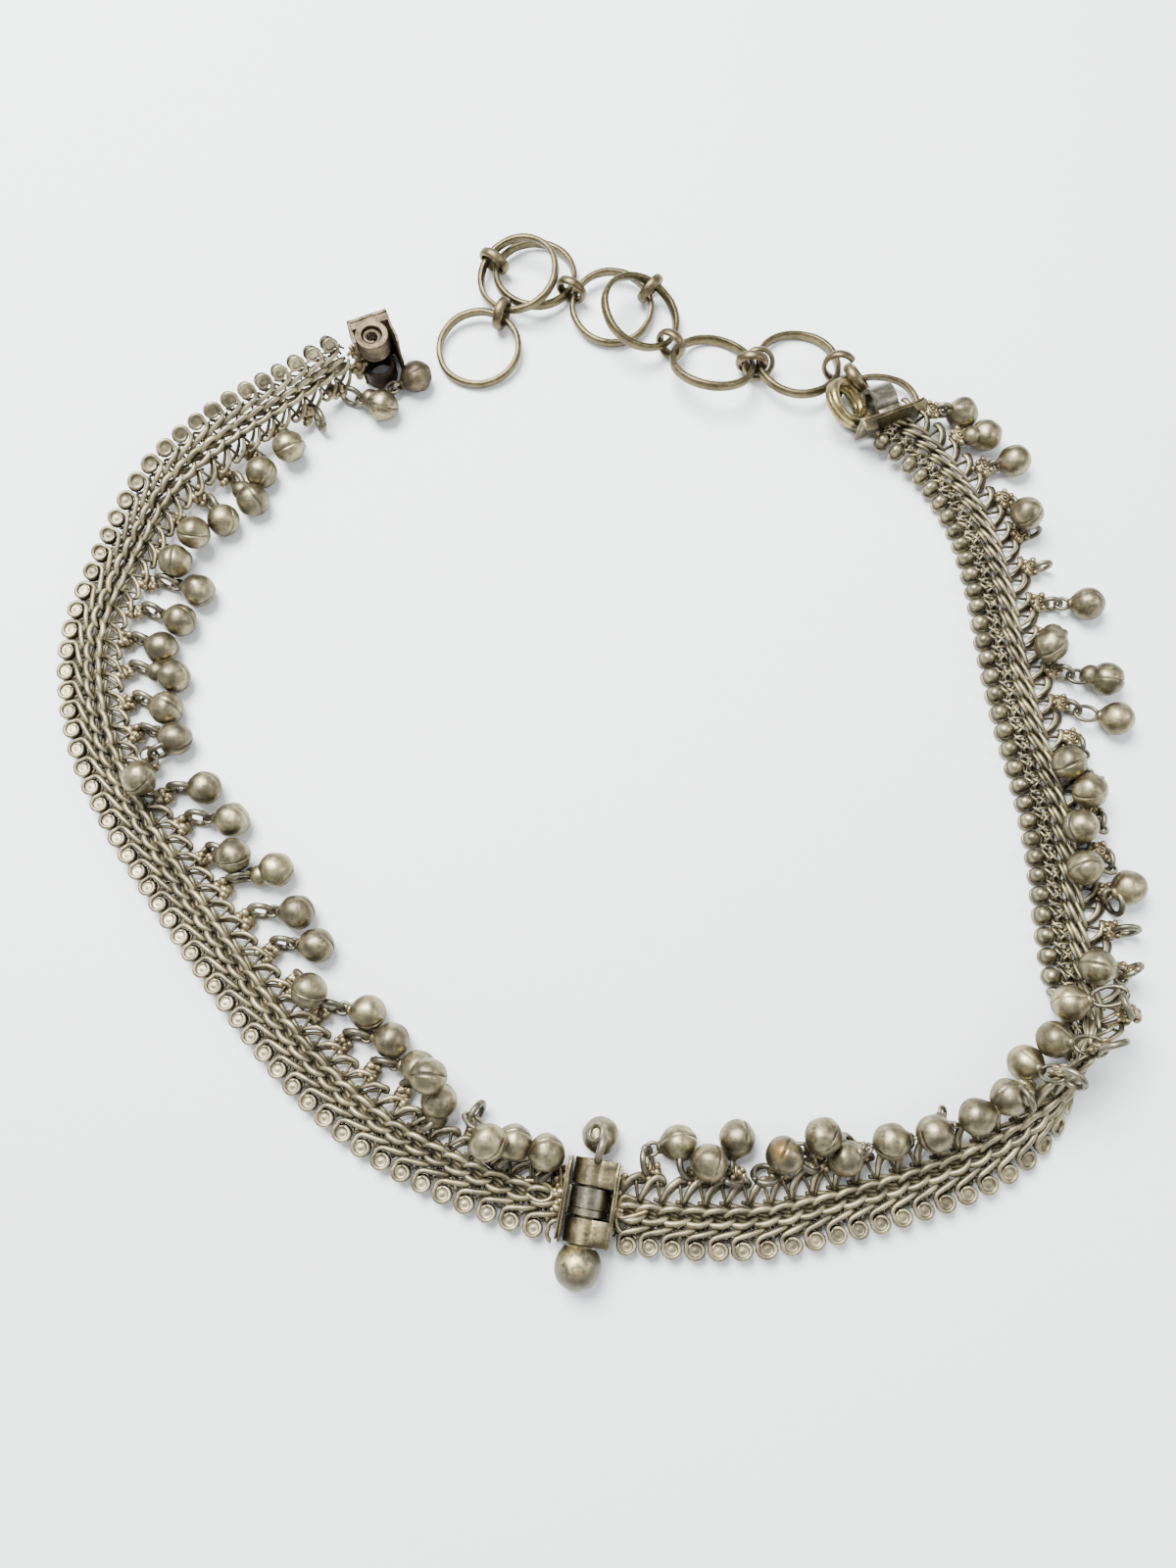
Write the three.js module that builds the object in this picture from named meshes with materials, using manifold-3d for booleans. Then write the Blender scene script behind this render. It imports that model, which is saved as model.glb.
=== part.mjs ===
// A waist belt: two bands of woven wire with bells, joined in front by a pin clasp, and a chain of
// brass rings that lengthens it behind. It lies open on a flat surface.
//
// Millimetres. X runs along the belt's width, Y away from the front clasp and Z up from the surface.

import * as THREE from 'three';
import { mergeVertices } from 'three/addons/utils/BufferGeometryUtils.js';
import Module from 'manifold-3d';

const wasm = await Module();
wasm.setup();

// ---------------------------------------------------------------- driving dimensions

const gap = 0.3;                 // running gap between neighbouring pieces
const bandLinks = 60;            // links in each band, with a rosette at every second one
const firstBell = 1;             // link that carries the first rosette
const bellsPerBand = 30;

// the band's cross-section: `across` from the coiled edge (-) to the bell edge (+), `back` out of its back
const edgeAcross = -7;           // centre of the coils and their domes
const coilRadius = 1.9;
const domeBack = -2.7;           // top of the domes, on the front
const braidHalf = 3.1;
const braidBack = 1.2;
const railInner = braidHalf + 0.5;
const railOuter = 5.8;           // tips of the arches
const rosetteAcross = 6.4;
const rosetteRadius = 2.3;
const rosetteFront = -1.9;
const rosetteBack = 0.8;
const tabAcross = 7.4;           // hole of a rosette's tab

const bellRadius = 3.65;
const jumpRingRadius = 2.3;      // to the middle of the wire
const jumpRingWire = 0.6;

// the clasps: plates with barrel knuckles
const plateLength = 16;
const plateWidth = 8;
const plateThickness = 0.9;
const plateOffset = 4.4;         // knuckle axis to the plate's face
const knuckleRadius = 3.65;
const knuckleBore = 2.6;
const knuckleHeight = 4.35;      // a knuckle's axis above its plate's lower edge
const topKnuckle = 5.1;
const middleKnuckle = 5.4;
const bottomKnuckle = 4.9;
const pinRadius = 2.2;
const pinBallRadius = 4.3;
const pinBallOut = 12.2;         // ball centre from the clasp's middle

// the extension chain
const ringRadius = 10.1;         // outer
const ringThickness = 1.3;
const ringHeight = 2.2;
const linkRadius = 3.9;          // outer
const linkThickness = 0.9;
const linkHeight = 1.8;
const heavyRadius = 5.2;         // to the middle of the wire
const heavyWire = 1.0;

// ---------------------------------------------------------------- materials

const metal = (color, roughness) => new THREE.MeshStandardMaterial({ color, roughness, metalness: 1 });
const bandSilver = metal('#a89c82', 0.38);
const bellSilver = metal('#a0957c', 0.34);
const claspSilver = metal('#8f8676', 0.42);
const pinSilver = metal('#97907c', 0.32);
const ringBrass = metal('#9a8d68', 0.36);
const linkBrass = metal('#8d7a56', 0.4);

// ---------------------------------------------------------------- solids

// A three.js geometry as a manifold solid, and back.
function solid(geometry) {
  const plain = geometry.clone();
  for (const name of Object.keys(plain.attributes)) if (name !== 'position') plain.deleteAttribute(name);
  const merged = mergeVertices(plain, 1e-4);
  const vertProperties = Float32Array.from(merged.attributes.position.array);
  const triVerts = Uint32Array.from(merged.index.array);
  return new wasm.Manifold(new wasm.Mesh({ numProp: 3, vertProperties, triVerts }));
}

function joined(parts) {
  return parts.reduce((whole, part) => whole.add(part));
}

function geometryOf(body) {
  const mesh = body.getMesh();
  const geometry = new THREE.BufferGeometry();
  geometry.setAttribute('position', new THREE.BufferAttribute(mesh.vertProperties, 3));
  geometry.setIndex(new THREE.BufferAttribute(mesh.triVerts, 1));
  const flat = geometry.toNonIndexed();
  flat.computeVertexNormals();
  return flat;
}

// The whole belt, moved so that its box's centre lies over the origin.
const belt = new THREE.Group();
belt.name = 'waist_belt';
belt.position.set(-0.6, 1.6, 0);

function addPiece(name, body, material, parent = belt) {
  const mesh = new THREE.Mesh(geometryOf(body), material);
  mesh.name = name;
  parent.add(mesh);
  return mesh;
}

// Geometry moved so that its own +Z points along `axis` and its origin lies at `place`.
function placed(geometry, place, axis, up = new THREE.Vector3(0, 0, 1)) {
  const z = axis.clone().normalize();
  const x = new THREE.Vector3().crossVectors(up, z);
  if (x.lengthSq() < 1e-6) x.set(1, 0, 0);
  x.normalize();
  const y = new THREE.Vector3().crossVectors(z, x);
  return geometry.applyMatrix4(new THREE.Matrix4().makeBasis(x, y, z).setPosition(place));
}

// ---------------------------------------------------------------- the two bands' routes

// Middle of the plait in plan, from the front clasp to the free end, the band's roll in degrees and how
// far it is propped up. Roll 0 lies back up with the bells inside the loop; 180 lies front up with them
// outside.
const leftRows = [
  { x: -4.7, y: -104.1, roll: 0 },
  { x: -15, y: -101.2, roll: 0 },
  { x: -27, y: -96.5, roll: 0 },
  { x: -41.3, y: -88.7, roll: 0 },
  { x: -53.9, y: -78.2, roll: 0 },
  { x: -65.3, y: -65.6, roll: 0 },
  { x: -75.9, y: -52.2, roll: 0 },
  { x: -86.1, y: -38.5, roll: 0 },
  { x: -95.4, y: -25, roll: 0 },
  { x: -103.3, y: -10, roll: 0 },
  { x: -107.4, y: 6.7, roll: 0 },
  { x: -106.4, y: 20.3, roll: 0 },
  { x: -101.2, y: 34.2, roll: -12 },
  { x: -93.9, y: 48.3, roll: -27 },
  { x: -82.2, y: 59.5, roll: -45 },
  { x: -67.6, y: 69.6, roll: -63 },
  { x: -59.3, y: 75.8, roll: -72 },
  { x: -53.8, y: 79.9, roll: -75 },
];
const rightRows = [
  { x: 4.9, y: -105.8, roll: 0 },
  { x: 21.9, y: -107, roll: 0 },
  { x: 35.4, y: -106.6, roll: 0 },
  { x: 48.7, y: -103.8, roll: 0 },
  { x: 61.5, y: -100.5, roll: 0 },
  { x: 73.4, y: -96.4, roll: 5 },
  { x: 84, y: -91, roll: 25 },
  { x: 93, y: -84, roll: 60 },
  { x: 99.5, y: -74, roll: 105 },
  { x: 102, y: -66, roll: 150 },
  { x: 102, y: -58.7, roll: 175 },
  { x: 101.5, y: -48.8, roll: 180 },
  { x: 101.2, y: -36.2, roll: 180 },
  { x: 100, y: -23.2, roll: 180 },
  { x: 97.8, y: -11, roll: 180 },
  { x: 95.8, y: 1.5, roll: 180 },
  { x: 94.4, y: 14.3, roll: 180 },
  { x: 93.1, y: 28, roll: 180 },
  { x: 89.9, y: 42.2, roll: 180 },
  { x: 83.5, y: 54.5, roll: 180, prop: 1.1 },
  { x: 75.6, y: 63.2, roll: 180, prop: 2.9 },
  { x: 67, y: 70, roll: 180, prop: 3 },
];

// Corners of the band's outline that can touch the surface, whichever way it is rolled.
const restCorners = [
  [edgeAcross - coilRadius, 0.9], [edgeAcross - coilRadius, -1], [edgeAcross, domeBack],
  [rosetteAcross + rosetteRadius, rosetteFront], [rosetteAcross + rosetteRadius, rosetteBack],
  [0, braidBack],
];
const restGap = 0.1;

function restHeight(roll) {
  const depth = restCorners.map(([across, back]) => -(across * Math.sin(roll) + back * Math.cos(roll)));
  return Math.max(...depth) + restGap;
}

// Frames along a band. `side` is +1 where the inside of the loop lies on the left of the way out from
// the clasp, and -1 where it lies on the right. The links start at `lead`, the first is `pitch` long and
// they close up evenly to end `tail` short of the band's end. `cuts` are planes that trim the ends.
function bandRoute(rows, { side, lead, pitch, tail, cuts }) {
  const plan = new THREE.CatmullRomCurve3(
    rows.map(({ x, y, roll }) => new THREE.Vector3(x, y, roll)), false, 'catmullrom', 0.5);
  const stations = [];
  let run = 0;
  for (let i = 0; i <= 600; i += 1) {
    const point = plan.getPoint(i / 600);
    const roll = THREE.MathUtils.degToRad(point.z);
    const row = Math.min(Math.floor((i / 600) * (rows.length - 1)), rows.length - 2);
    const t = (i / 600) * (rows.length - 1) - row;
    const prop = THREE.MathUtils.lerp(rows[row].prop ?? 0, rows[row + 1].prop ?? 0, t);
    if (i > 0) run += Math.hypot(point.x - stations[i - 1].x, point.y - stations[i - 1].y);
    stations.push({ run, x: point.x, y: point.y, z: restHeight(roll) + prop, roll });
  }
  const at = (distance) => {
    let i = stations.findIndex((station) => station.run > distance);
    if (i < 1) i = distance <= 0 ? 1 : stations.length - 1;
    const [a, b] = [stations[i - 1], stations[i]];
    const t = (distance - a.run) / (b.run - a.run);
    const roll = THREE.MathUtils.lerp(a.roll, b.roll, t);
    const ahead = new THREE.Vector3(b.x - a.x, b.y - a.y, 0).normalize();
    const inward = new THREE.Vector3(-ahead.y, ahead.x, 0).multiplyScalar(side);
    const across = inward.clone().multiplyScalar(Math.cos(roll)).setZ(Math.sin(roll));
    const back = new THREE.Vector3().crossVectors(ahead, across).multiplyScalar(side);
    const middle = new THREE.Vector3(a.x, a.y, a.z).lerp(new THREE.Vector3(b.x, b.y, b.z), t);
    const outward = inward.clone().multiplyScalar(Math.cos(roll) < -1e-6 ? -1 : 1);
    return { middle, ahead, across, back, outward };
  };
  const place = (distance, acrossBy, backBy) => {
    const { middle, across, back } = at(distance);
    return middle.clone().addScaledVector(across, acrossBy).addScaledVector(back, backBy);
  };
  const closing = (pitch - (run - lead - tail) / bandLinks) / bandLinks;
  const link = (count) => lead + count * (pitch - closing * count);
  return { length: run, at, place, link, cuts };
}

// The front clasp's middle, and the way its pin is drawn out (degrees).
const claspMiddle = new THREE.Vector3(0.1, -104.9, knuckleHeight);
const pinHeading = THREE.MathUtils.degToRad(-100);

// The plate of the right end clasp stands across the right band's free end.
const rightEndPlate = new THREE.Vector3(69, 65.3, 3);
const rightEndHeading = THREE.MathUtils.degToRad(21.5);

// A plane `distance` from a point towards a heading, keeping what lies beyond it.
function beyond(point, heading, distance) {
  const normal = new THREE.Vector3(Math.cos(heading), Math.sin(heading), 0);
  return { normal: normal.toArray(), offset: point.dot(normal) + distance };
}
const quarter = Math.PI / 2;
const toPlateBack = plateOffset + plateThickness + gap;
const leftCuts = [beyond(claspMiddle, pinHeading - quarter, toPlateBack)];
const rightCuts = [
  beyond(claspMiddle, pinHeading + quarter, toPlateBack),
  beyond(rightEndPlate, rightEndHeading - quarter, plateThickness / 2 + gap),
];

const left = bandRoute(leftRows, { side: -1, lead: 1.2, pitch: 4.3, tail: 1.9, cuts: leftCuts });
const right = bandRoute(rightRows, { side: 1, lead: 2.2, pitch: 4.45, tail: 6.5, cuts: rightCuts });

// A straight run of one cross-section, laid along a route from one distance to another.
function laid(route, outline, from, to, step) {
  const shape = new THREE.Shape(outline.map(([across, back]) => new THREE.Vector2(across, back)));
  const steps = Math.max(1, Math.round((to - from) / step));
  const geometry = new THREE.ExtrudeGeometry(shape, { depth: to - from, steps, bevelEnabled: false });
  const position = geometry.attributes.position;
  for (let i = 0; i < position.count; i += 1) {
    const point = route.place(from + position.getZ(i), position.getX(i), position.getY(i));
    position.setXYZ(i, point.x, point.y, point.z);
  }
  const straight = solid(geometry);
  const body = straight.volume() > 0 ? straight : solid(turnedInsideOut(geometry));
  return route.cuts.reduce((rest, { normal, offset }) => rest.trimByPlane(normal, offset), body);
}

function turnedInsideOut(geometry) {
  const turned = geometry.index ? geometry.toNonIndexed() : geometry.clone();
  const array = turned.attributes.position.array;
  for (let i = 0; i < array.length; i += 9) {
    for (let k = 0; k < 3; k += 1) [array[i + 3 + k], array[i + 6 + k]] = [array[i + 6 + k], array[i + 3 + k]];
  }
  return turned;
}

// ---------------------------------------------------------------- the woven bands

const bandOutline = [
  [edgeAcross - coilRadius, -0.9], [edgeAcross, domeBack], [edgeAcross + coilRadius, -0.9],
  [-braidHalf, -0.8], [braidHalf, -0.8], [braidHalf, 0.1], [1.6, braidBack], [-1.6, braidBack],
  [-braidHalf, 0.1], [edgeAcross + 1.4, 0.9], [edgeAcross - 1.4, 0.9],
];
const bandStep = 7;

addPiece('chain_left', laid(left, bandOutline, 0, left.length, bandStep), bandSilver);
addPiece('chain_right', laid(right, bandOutline, 0, right.length, bandStep), bandSilver);

// ---------------------------------------------------------------- arches, rosettes, jump rings and bells

// Bells by hand, one row for each rosette from the clasp to the free end. The bell's centre lies `out`
// from the rosette's tab and `along` towards the free end; `z` is its height where it lies on something
// other than the surface. An empty row is a lost bell, which has left its jump ring.
const leftBells = [
  { out: -0.2, along: -0.1, z: 7.2 },
  { out: -0.3, along: -1.5, z: 6.2 },
  { out: -1.7, along: -5.1, z: 11.3 },
  { out: 1, along: -0.6, z: 5.5 },
  { out: 4.3, along: -4.4, z: 11.1 },
  { out: 4.8, along: -8.2, z: 4.4 },
  { out: 5.6, along: -7.9 },
  { out: 6.3, along: -8 },
  { out: 0.4, along: -5.6, z: 7.2 },
  { out: 6.8, along: -6.4 },
  { out: 7.6, along: -6.5 },
  { out: 9.2, along: -4.6 },
  { out: 3.8, along: -5.6, z: 5.7 },
  { out: 7.5, along: -6.4 },
  { out: 6.4, along: -4.4 },
  { out: -3.8, along: -5.3, z: 8 },
  { out: 6.1, along: -5.5 },
  { out: 6.4, along: -4.9 },
  { out: 9.2, along: -4.2 },
  { out: 6.8, along: -2.4 },
  { out: 9.2, along: -0.8 },
  { out: 10.1, along: 0.9 },
  { out: 3.1, along: -3.6, z: 5.8 },
  { out: 4.1, along: -2.8, z: 6 },
  { out: 7.1, along: -1.4 },
  { out: 8.5, along: 0 },
  { out: 4.7, along: -1.8 },
  { out: 4.1, along: -1.3, z: 5 },
  {},
  { out: 8.8, along: 5.6 },
];
const rightBells = [
  { out: 5.4, along: 5.3 },
  { out: 2, along: 2.8, z: 6.8 },
  { out: 6.5, along: 0.6 },
  { out: 2.4, along: 1.9, z: 6.9 },
  { out: 4, along: 1.9, z: 8.2 },
  { out: -1, along: -3.1, z: 4.6 },
  { out: -0.2, along: -2.4, z: 7.3 },
  { out: -1.3, along: -2.2, z: 8 },
  { out: -1.5, along: -1.4, z: 9 },
  { out: -0.5, along: -2, z: 9.5 },
  { out: 4.2, along: -0.6, z: 6.2 },
  { out: -6.4, along: -1, z: 9.1 },
  { out: -11, along: 0.1, z: 9.5 },
  { out: -7.3, along: 0.5, z: 9 },
  {},
  { out: 3.6, along: 0.9 },
  { out: -6.2, along: -3.8, z: 7 },
  { out: -5.7, along: -3.4, z: 7 },
  { out: -2.1, along: -4.6, z: 6.6 },
  { out: -4.7, along: -6.2, z: 7 },
  { out: 9.7, along: -5.5 },
  { out: 10, along: -3.8 },
  { out: -1.8, along: -3.8, z: 7 },
  { out: 9.5, along: -1.4 },
  {},
  {},
  { out: 0.1, along: -6.3, z: 6.7 },
  { out: 5.9, along: -2.1 },
  { out: 4.4, along: -3.4 },
  { out: 4.6, along: -4.9 },
];

const railOutline = [[railInner, -0.5], [railOuter, -0.5], [railOuter, 0.4], [railInner, 0.4]];
const ringReach = jumpRingRadius + jumpRingWire + restGap;
const up = new THREE.Vector3(0, 0, 1);

// One rosette with its jump ring and, if it isn't lost, its bell.
function fringeUnit(route, count, { out, along, z }) {
  const station = route.link(count);
  const frame = route.at(station);
  const tab = route.place(station, tabAcross, -0.4);
  const rosette = new THREE.CylinderGeometry(rosetteRadius, rosetteRadius, rosetteBack - rosetteFront, 5);
  rosette.rotateX(Math.PI / 2);
  const middle = route.place(station, rosetteAcross, (rosetteBack + rosetteFront) / 2);
  const parts = [solid(placed(rosette, middle, frame.back, frame.ahead))];
  const hung = out !== undefined;
  const bell = tab.clone().setZ(z ?? bellRadius + restGap);
  bell.addScaledVector(frame.outward, hung ? out : 3).addScaledVector(frame.ahead, hung ? along : 0);
  // the jump ring stands in its tab and leans towards the bell, or outwards if the bell lies over the band
  const lean = bell.clone().sub(tab).setZ(0);
  if (lean.dot(frame.outward) < 0) lean.copy(frame.outward).multiplyScalar(3);
  const rise = tab.z > 9 ? 0 : 6 / (1 + lean.length() / 3);
  const aim = lean.clone().addScaledVector(up, rise).normalize();
  const ringMiddle = tab.clone().addScaledVector(aim, jumpRingRadius);
  ringMiddle.z = Math.max(ringMiddle.z, ringReach);
  const ring = new THREE.TorusGeometry(jumpRingRadius, jumpRingWire, 3, 6);
  parts.push(solid(placed(ring, ringMiddle, new THREE.Vector3().crossVectors(lean, up), aim)));
  if (hung) {
    // the bell's loop, as a stem from the bell to the far side of the jump ring
    const reach = ringMiddle.clone().addScaledVector(aim, jumpRingRadius).sub(bell);
    const stem = new THREE.CylinderGeometry(0.6, 0.6, reach.length(), 3);
    stem.rotateX(Math.PI / 2).translate(0, 0, reach.length() / 2);
    parts.push(solid(placed(stem, bell, reach)));
    parts.push(solid(placed(new THREE.SphereGeometry(bellRadius, 7, 4), bell, reach)));
  }
  return joined(parts);
}

// The fringe is cut into runs of a few bells, a little apart.
function fringe(name, route, bells, runs) {
  const bellsPerRun = bellsPerBand / runs;
  const border = (bell) => route.link(firstBell + 2 * bell - 1);
  for (let run = 0; run < runs; run += 1) {
    const first = run * bellsPerRun;
    const from = run > 0 ? border(first) + gap / 2 : 0;
    const to = run < runs - 1 ? border(first + bellsPerRun) - gap / 2 : route.length;
    const units = bells.slice(first, first + bellsPerRun)
      .map((row, k) => fringeUnit(route, firstBell + 2 * (first + k), row));
    addPiece(`${name}_${run + 1}`, joined([laid(route, railOutline, from, to, bandStep), ...units]), bellSilver);
  }
}

const fringeRuns = 5;
fringe('bells_left', left, leftBells, fringeRuns);
fringe('bells_right', right, rightBells, fringeRuns);

// ---------------------------------------------------------------- clasps

function box(x0, x1, y0, y1, z0, z1) {
  return wasm.Manifold.cube([x1 - x0, y1 - y0, z1 - z0]).translate([x0, y0, z0]);
}

// A barrel round +Y from one distance to the other, with its saddle reaching the plate at -X or +X.
function knuckle(from, to, side) {
  const wall = [[knuckleBore, from], [knuckleRadius, from], [knuckleRadius, to], [knuckleBore, to]];
  const profile = [...wall, wall[0]].map(([r, y]) => new THREE.Vector2(r, y));
  const barrel = solid(new THREE.LatheGeometry(profile, 14));
  const near = side * (knuckleBore + 0.3);
  const far = side * (plateOffset + 0.2);
  const saddle = box(Math.min(near, far), Math.max(near, far), from, to, -2.4, 2.4);
  return barrel.add(saddle);
}

// A plate across X on its knuckles' side, in the clasp's frame: the knuckles' axis is the Y axis.
function plate(side) {
  const [near, far] = [side * plateOffset, side * (plateOffset + plateThickness)];
  return box(Math.min(near, far), Math.max(near, far), -plateLength / 2, plateLength / 2,
    -knuckleHeight, plateWidth - knuckleHeight);
}

// the front clasp: the left leaf's single knuckle between the right leaf's two, and the pin through them
const clasp = new THREE.Group();
clasp.name = 'front_clasp';
clasp.position.copy(claspMiddle);
clasp.rotation.z = pinHeading - quarter;
belt.add(clasp);

const half = middleKnuckle / 2;
const claspLeafLeft = plate(1).add(knuckle(-half, half, 1));
const claspLeafRight = plate(-1)
  .add(knuckle(-half - gap - topKnuckle, -half - gap, -1))
  .add(knuckle(half + gap, half + gap + bottomKnuckle, -1));
addPiece('clasp_leaf_left', claspLeafLeft, claspSilver, clasp);
addPiece('clasp_leaf_right', claspLeafRight, claspSilver, clasp);

const neck = pinBallOut - Math.sqrt(pinBallRadius ** 2 - pinRadius ** 2);
const pinProfile = [new THREE.Vector2(0, -plateLength / 2), new THREE.Vector2(pinRadius, -plateLength / 2)];
for (let angle = Math.asin((neck - pinBallOut) / pinBallRadius), i = 0; i <= 7; i += 1) {
  const turn = THREE.MathUtils.lerp(angle, Math.PI / 2, i / 7);
  pinProfile.push(new THREE.Vector2(
    i < 7 ? pinBallRadius * Math.cos(turn) : 0, pinBallOut + pinBallRadius * Math.sin(turn)));
}
addPiece('clasp_pin', solid(new THREE.LatheGeometry(pinProfile, 12)), pinSilver, clasp);

// the bell at the inner end of the clasp, hung by two rings
const claspBell = solid(new THREE.SphereGeometry(bellRadius, 10, 6))
  .add(solid(new THREE.TorusGeometry(1.9, jumpRingWire, 4, 8).rotateY(Math.PI / 2).translate(0, 0.8, 4.4)));
addPiece('clasp_bell', claspBell.translate([-0.2, -12.6, bellRadius + restGap - knuckleHeight]), bellSilver, clasp);

// the left end clasp stands on edge; its middle knuckle is lost
const leftEnd = new THREE.Group();
leftEnd.name = 'left_end';
leftEnd.position.set(-48.9, 81.6, plateLength / 2);
leftEnd.rotation.set(Math.PI / 2, 0, 0);
belt.add(leftEnd);
const leftEndTurn = new THREE.Group();
leftEndTurn.name = 'left_end_turn';
leftEndTurn.rotation.y = THREE.MathUtils.degToRad(-69);
leftEnd.add(leftEndTurn);
const flange = box(-plateOffset - plateThickness, plateOffset - 3.4, -plateLength / 2, plateLength / 2, 3.75, 4.35);
const endClaspLeft = box(-plateOffset - plateThickness, -plateOffset, -plateLength / 2, plateLength / 2,
  4.35 - plateWidth, 4.35)
  .add(flange)
  .add(knuckle(-plateLength / 2 + 0.1, -plateLength / 2 + 0.1 + bottomKnuckle, -1))
  .add(knuckle(plateLength / 2 - 0.1 - topKnuckle, plateLength / 2 - 0.1, -1));
addPiece('end_clasp_left', endClaspLeft, claspSilver, leftEndTurn);

// and a bell hangs at its lower corner
const endBell = solid(new THREE.SphereGeometry(bellRadius, 10, 6))
  .add(solid(new THREE.TorusGeometry(1.1, 0.5, 4, 8).rotateX(Math.PI / 2).translate(-3.3, 1.1, 0.6)));
addPiece('end_bell', endBell, bellSilver).position.set(-40.2, 78.8, bellRadius + restGap);

// the right end clasp lies along the free end of the right band
const rightEnd = new THREE.Group();
rightEnd.name = 'right_end';
const toKnuckle = plateOffset + plateThickness / 2;
rightEnd.rotation.z = rightEndHeading - quarter;
rightEnd.position.copy(rightEndPlate);
rightEnd.translateX(-toKnuckle).translateZ(knuckleHeight);
belt.add(rightEnd);
addPiece('end_clasp_right', plate(1).add(knuckle(-half, half, 1)), claspSilver, rightEnd);

// ---------------------------------------------------------------- the extension chain

// A flat strip closed into a ring round +Z.
function band(outer, thickness, height, segments) {
  const wall = [[outer - thickness, -height / 2], [outer, -height / 2], [outer, height / 2],
    [outer - thickness, height / 2]];
  const profile = [...wall, wall[0]].map(([r, y]) => new THREE.Vector2(r, y));
  return solid(new THREE.LatheGeometry(profile, segments).rotateX(Math.PI / 2));
}

// Large rings: the centre, and how far the ring leans (degrees) towards a heading (degrees), where it
// lies lowest. The last one is squeezed out of round.
const rings = [
  { x: -25.9, y: 87.5, z: 2.3, lean: 6, towards: -116 },
  { x: -16.7, y: 105.7, z: 5.6, lean: 17, towards: -160 },
  { x: -12.7, y: 107.8, z: 2.7, lean: 4.5, towards: 62 },
  { x: 5.7, y: 98.6, z: 2.6, lean: 6, towards: -73 },
  { x: 12.4, y: 94.5, z: 6.4, lean: 24, towards: -2 },
  { x: 29.1, y: 81.7, z: 5, lean: 22.7, towards: 77 },
  { x: 49.5, y: 82.6, z: 3.1, lean: 11, towards: 76 },
  { x: 67.6, y: 72.1, z: 2.2, lean: 7.8, towards: -91, squeeze: 0.76 },
];
rings.forEach(({ x, y, z, lean, towards, squeeze = 1 }, k) => {
  const strip = band(ringRadius, ringThickness, ringHeight, 20).scale([1, squeeze, 1]);
  const ring = addPiece(`ring_${k + 1}`, strip, ringBrass);
  const heading = THREE.MathUtils.degToRad(towards);
  const hinge = new THREE.Vector3(-Math.sin(heading), Math.cos(heading), 0);
  ring.position.set(x, y, z);
  ring.quaternion.setFromAxisAngle(hinge, THREE.MathUtils.degToRad(lean));
});

// Small links, each closed round the two rings it joins: its axis points to `heading` and rises by `lean`.
const links = [
  { x: -20.5, y: 95.8, z: 4, heading: 157, lean: 0 },
  { x: -22.6, y: 110.4, z: 4.1, heading: -123, lean: -8 },
  { x: -4, y: 102.4, z: 4, heading: 63, lean: 0 },
  { x: 14.8, y: 102.8, z: 4, heading: 140, lean: 17 },
  { x: 19.6, y: 87.2, z: 4.15, heading: 51, lean: -12 },
  { x: 38.5, y: 82.4, z: 4.08, heading: 87, lean: 5 },
  { x: 40, y: 82.3, z: 3.86, heading: 97, lean: -46 },
  { x: 58.8, y: 80.8, z: 4.7, heading: 80, lean: -20, outer: 4.1 },
  { x: 62.8, y: 78.1, z: 4.05, heading: 29, lean: 32, outer: 4.2 },
];
links.forEach(({ x, y, z, heading, lean, outer = linkRadius }, k) => {
  const link = addPiece(`link_${k + 1}`, band(outer, linkThickness, linkHeight, 12), linkBrass);
  const [turn, rise] = [heading, lean].map(THREE.MathUtils.degToRad);
  const axis = new THREE.Vector3(Math.cos(turn) * Math.cos(rise), Math.sin(turn) * Math.cos(rise), Math.sin(rise));
  link.position.set(x, y, z);
  link.quaternion.setFromUnitVectors(up, axis);
});

// The heavy link at the right end clasp leans into the mouth of the clasp's knuckle.
const heavyLink = solid(new THREE.TorusGeometry(heavyRadius, heavyWire, 6, 14));
const heavy = addPiece('heavy_link', heavyLink, linkBrass);
heavy.position.set(59.8, 70.2, 5.95);
heavy.quaternion.setFromUnitVectors(up, new THREE.Vector3(0.62, 0.06, 0.78).normalize());

export default belt;
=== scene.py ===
# A waist belt made of two long bell chains, clasped in front, with a chain of brass rings behind.
# It lies open on a pale surface, its left band back up and its right band front up.
# Sizes are in millimetres, and every finished mesh is scaled to metres.

import bisect
import random
from math import asin, copysign, cos, exp, pi, radians, sin, sqrt
from random import choice, uniform

import bmesh
import bpy
from mathutils import Matrix, Vector, noise


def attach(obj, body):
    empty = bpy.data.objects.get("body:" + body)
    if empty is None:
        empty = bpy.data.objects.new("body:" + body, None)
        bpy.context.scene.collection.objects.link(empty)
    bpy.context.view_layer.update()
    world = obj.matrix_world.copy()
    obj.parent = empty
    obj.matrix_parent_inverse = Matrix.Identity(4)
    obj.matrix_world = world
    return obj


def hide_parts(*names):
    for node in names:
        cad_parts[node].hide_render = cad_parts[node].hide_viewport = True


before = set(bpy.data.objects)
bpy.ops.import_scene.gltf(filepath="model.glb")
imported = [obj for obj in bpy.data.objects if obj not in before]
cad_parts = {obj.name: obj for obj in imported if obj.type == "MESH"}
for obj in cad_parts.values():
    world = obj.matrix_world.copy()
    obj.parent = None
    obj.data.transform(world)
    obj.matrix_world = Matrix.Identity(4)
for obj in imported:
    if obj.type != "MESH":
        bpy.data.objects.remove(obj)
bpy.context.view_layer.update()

# ---- camera
# Almost overhead, a little in front of the clasp, looking down and away along +Y.

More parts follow.
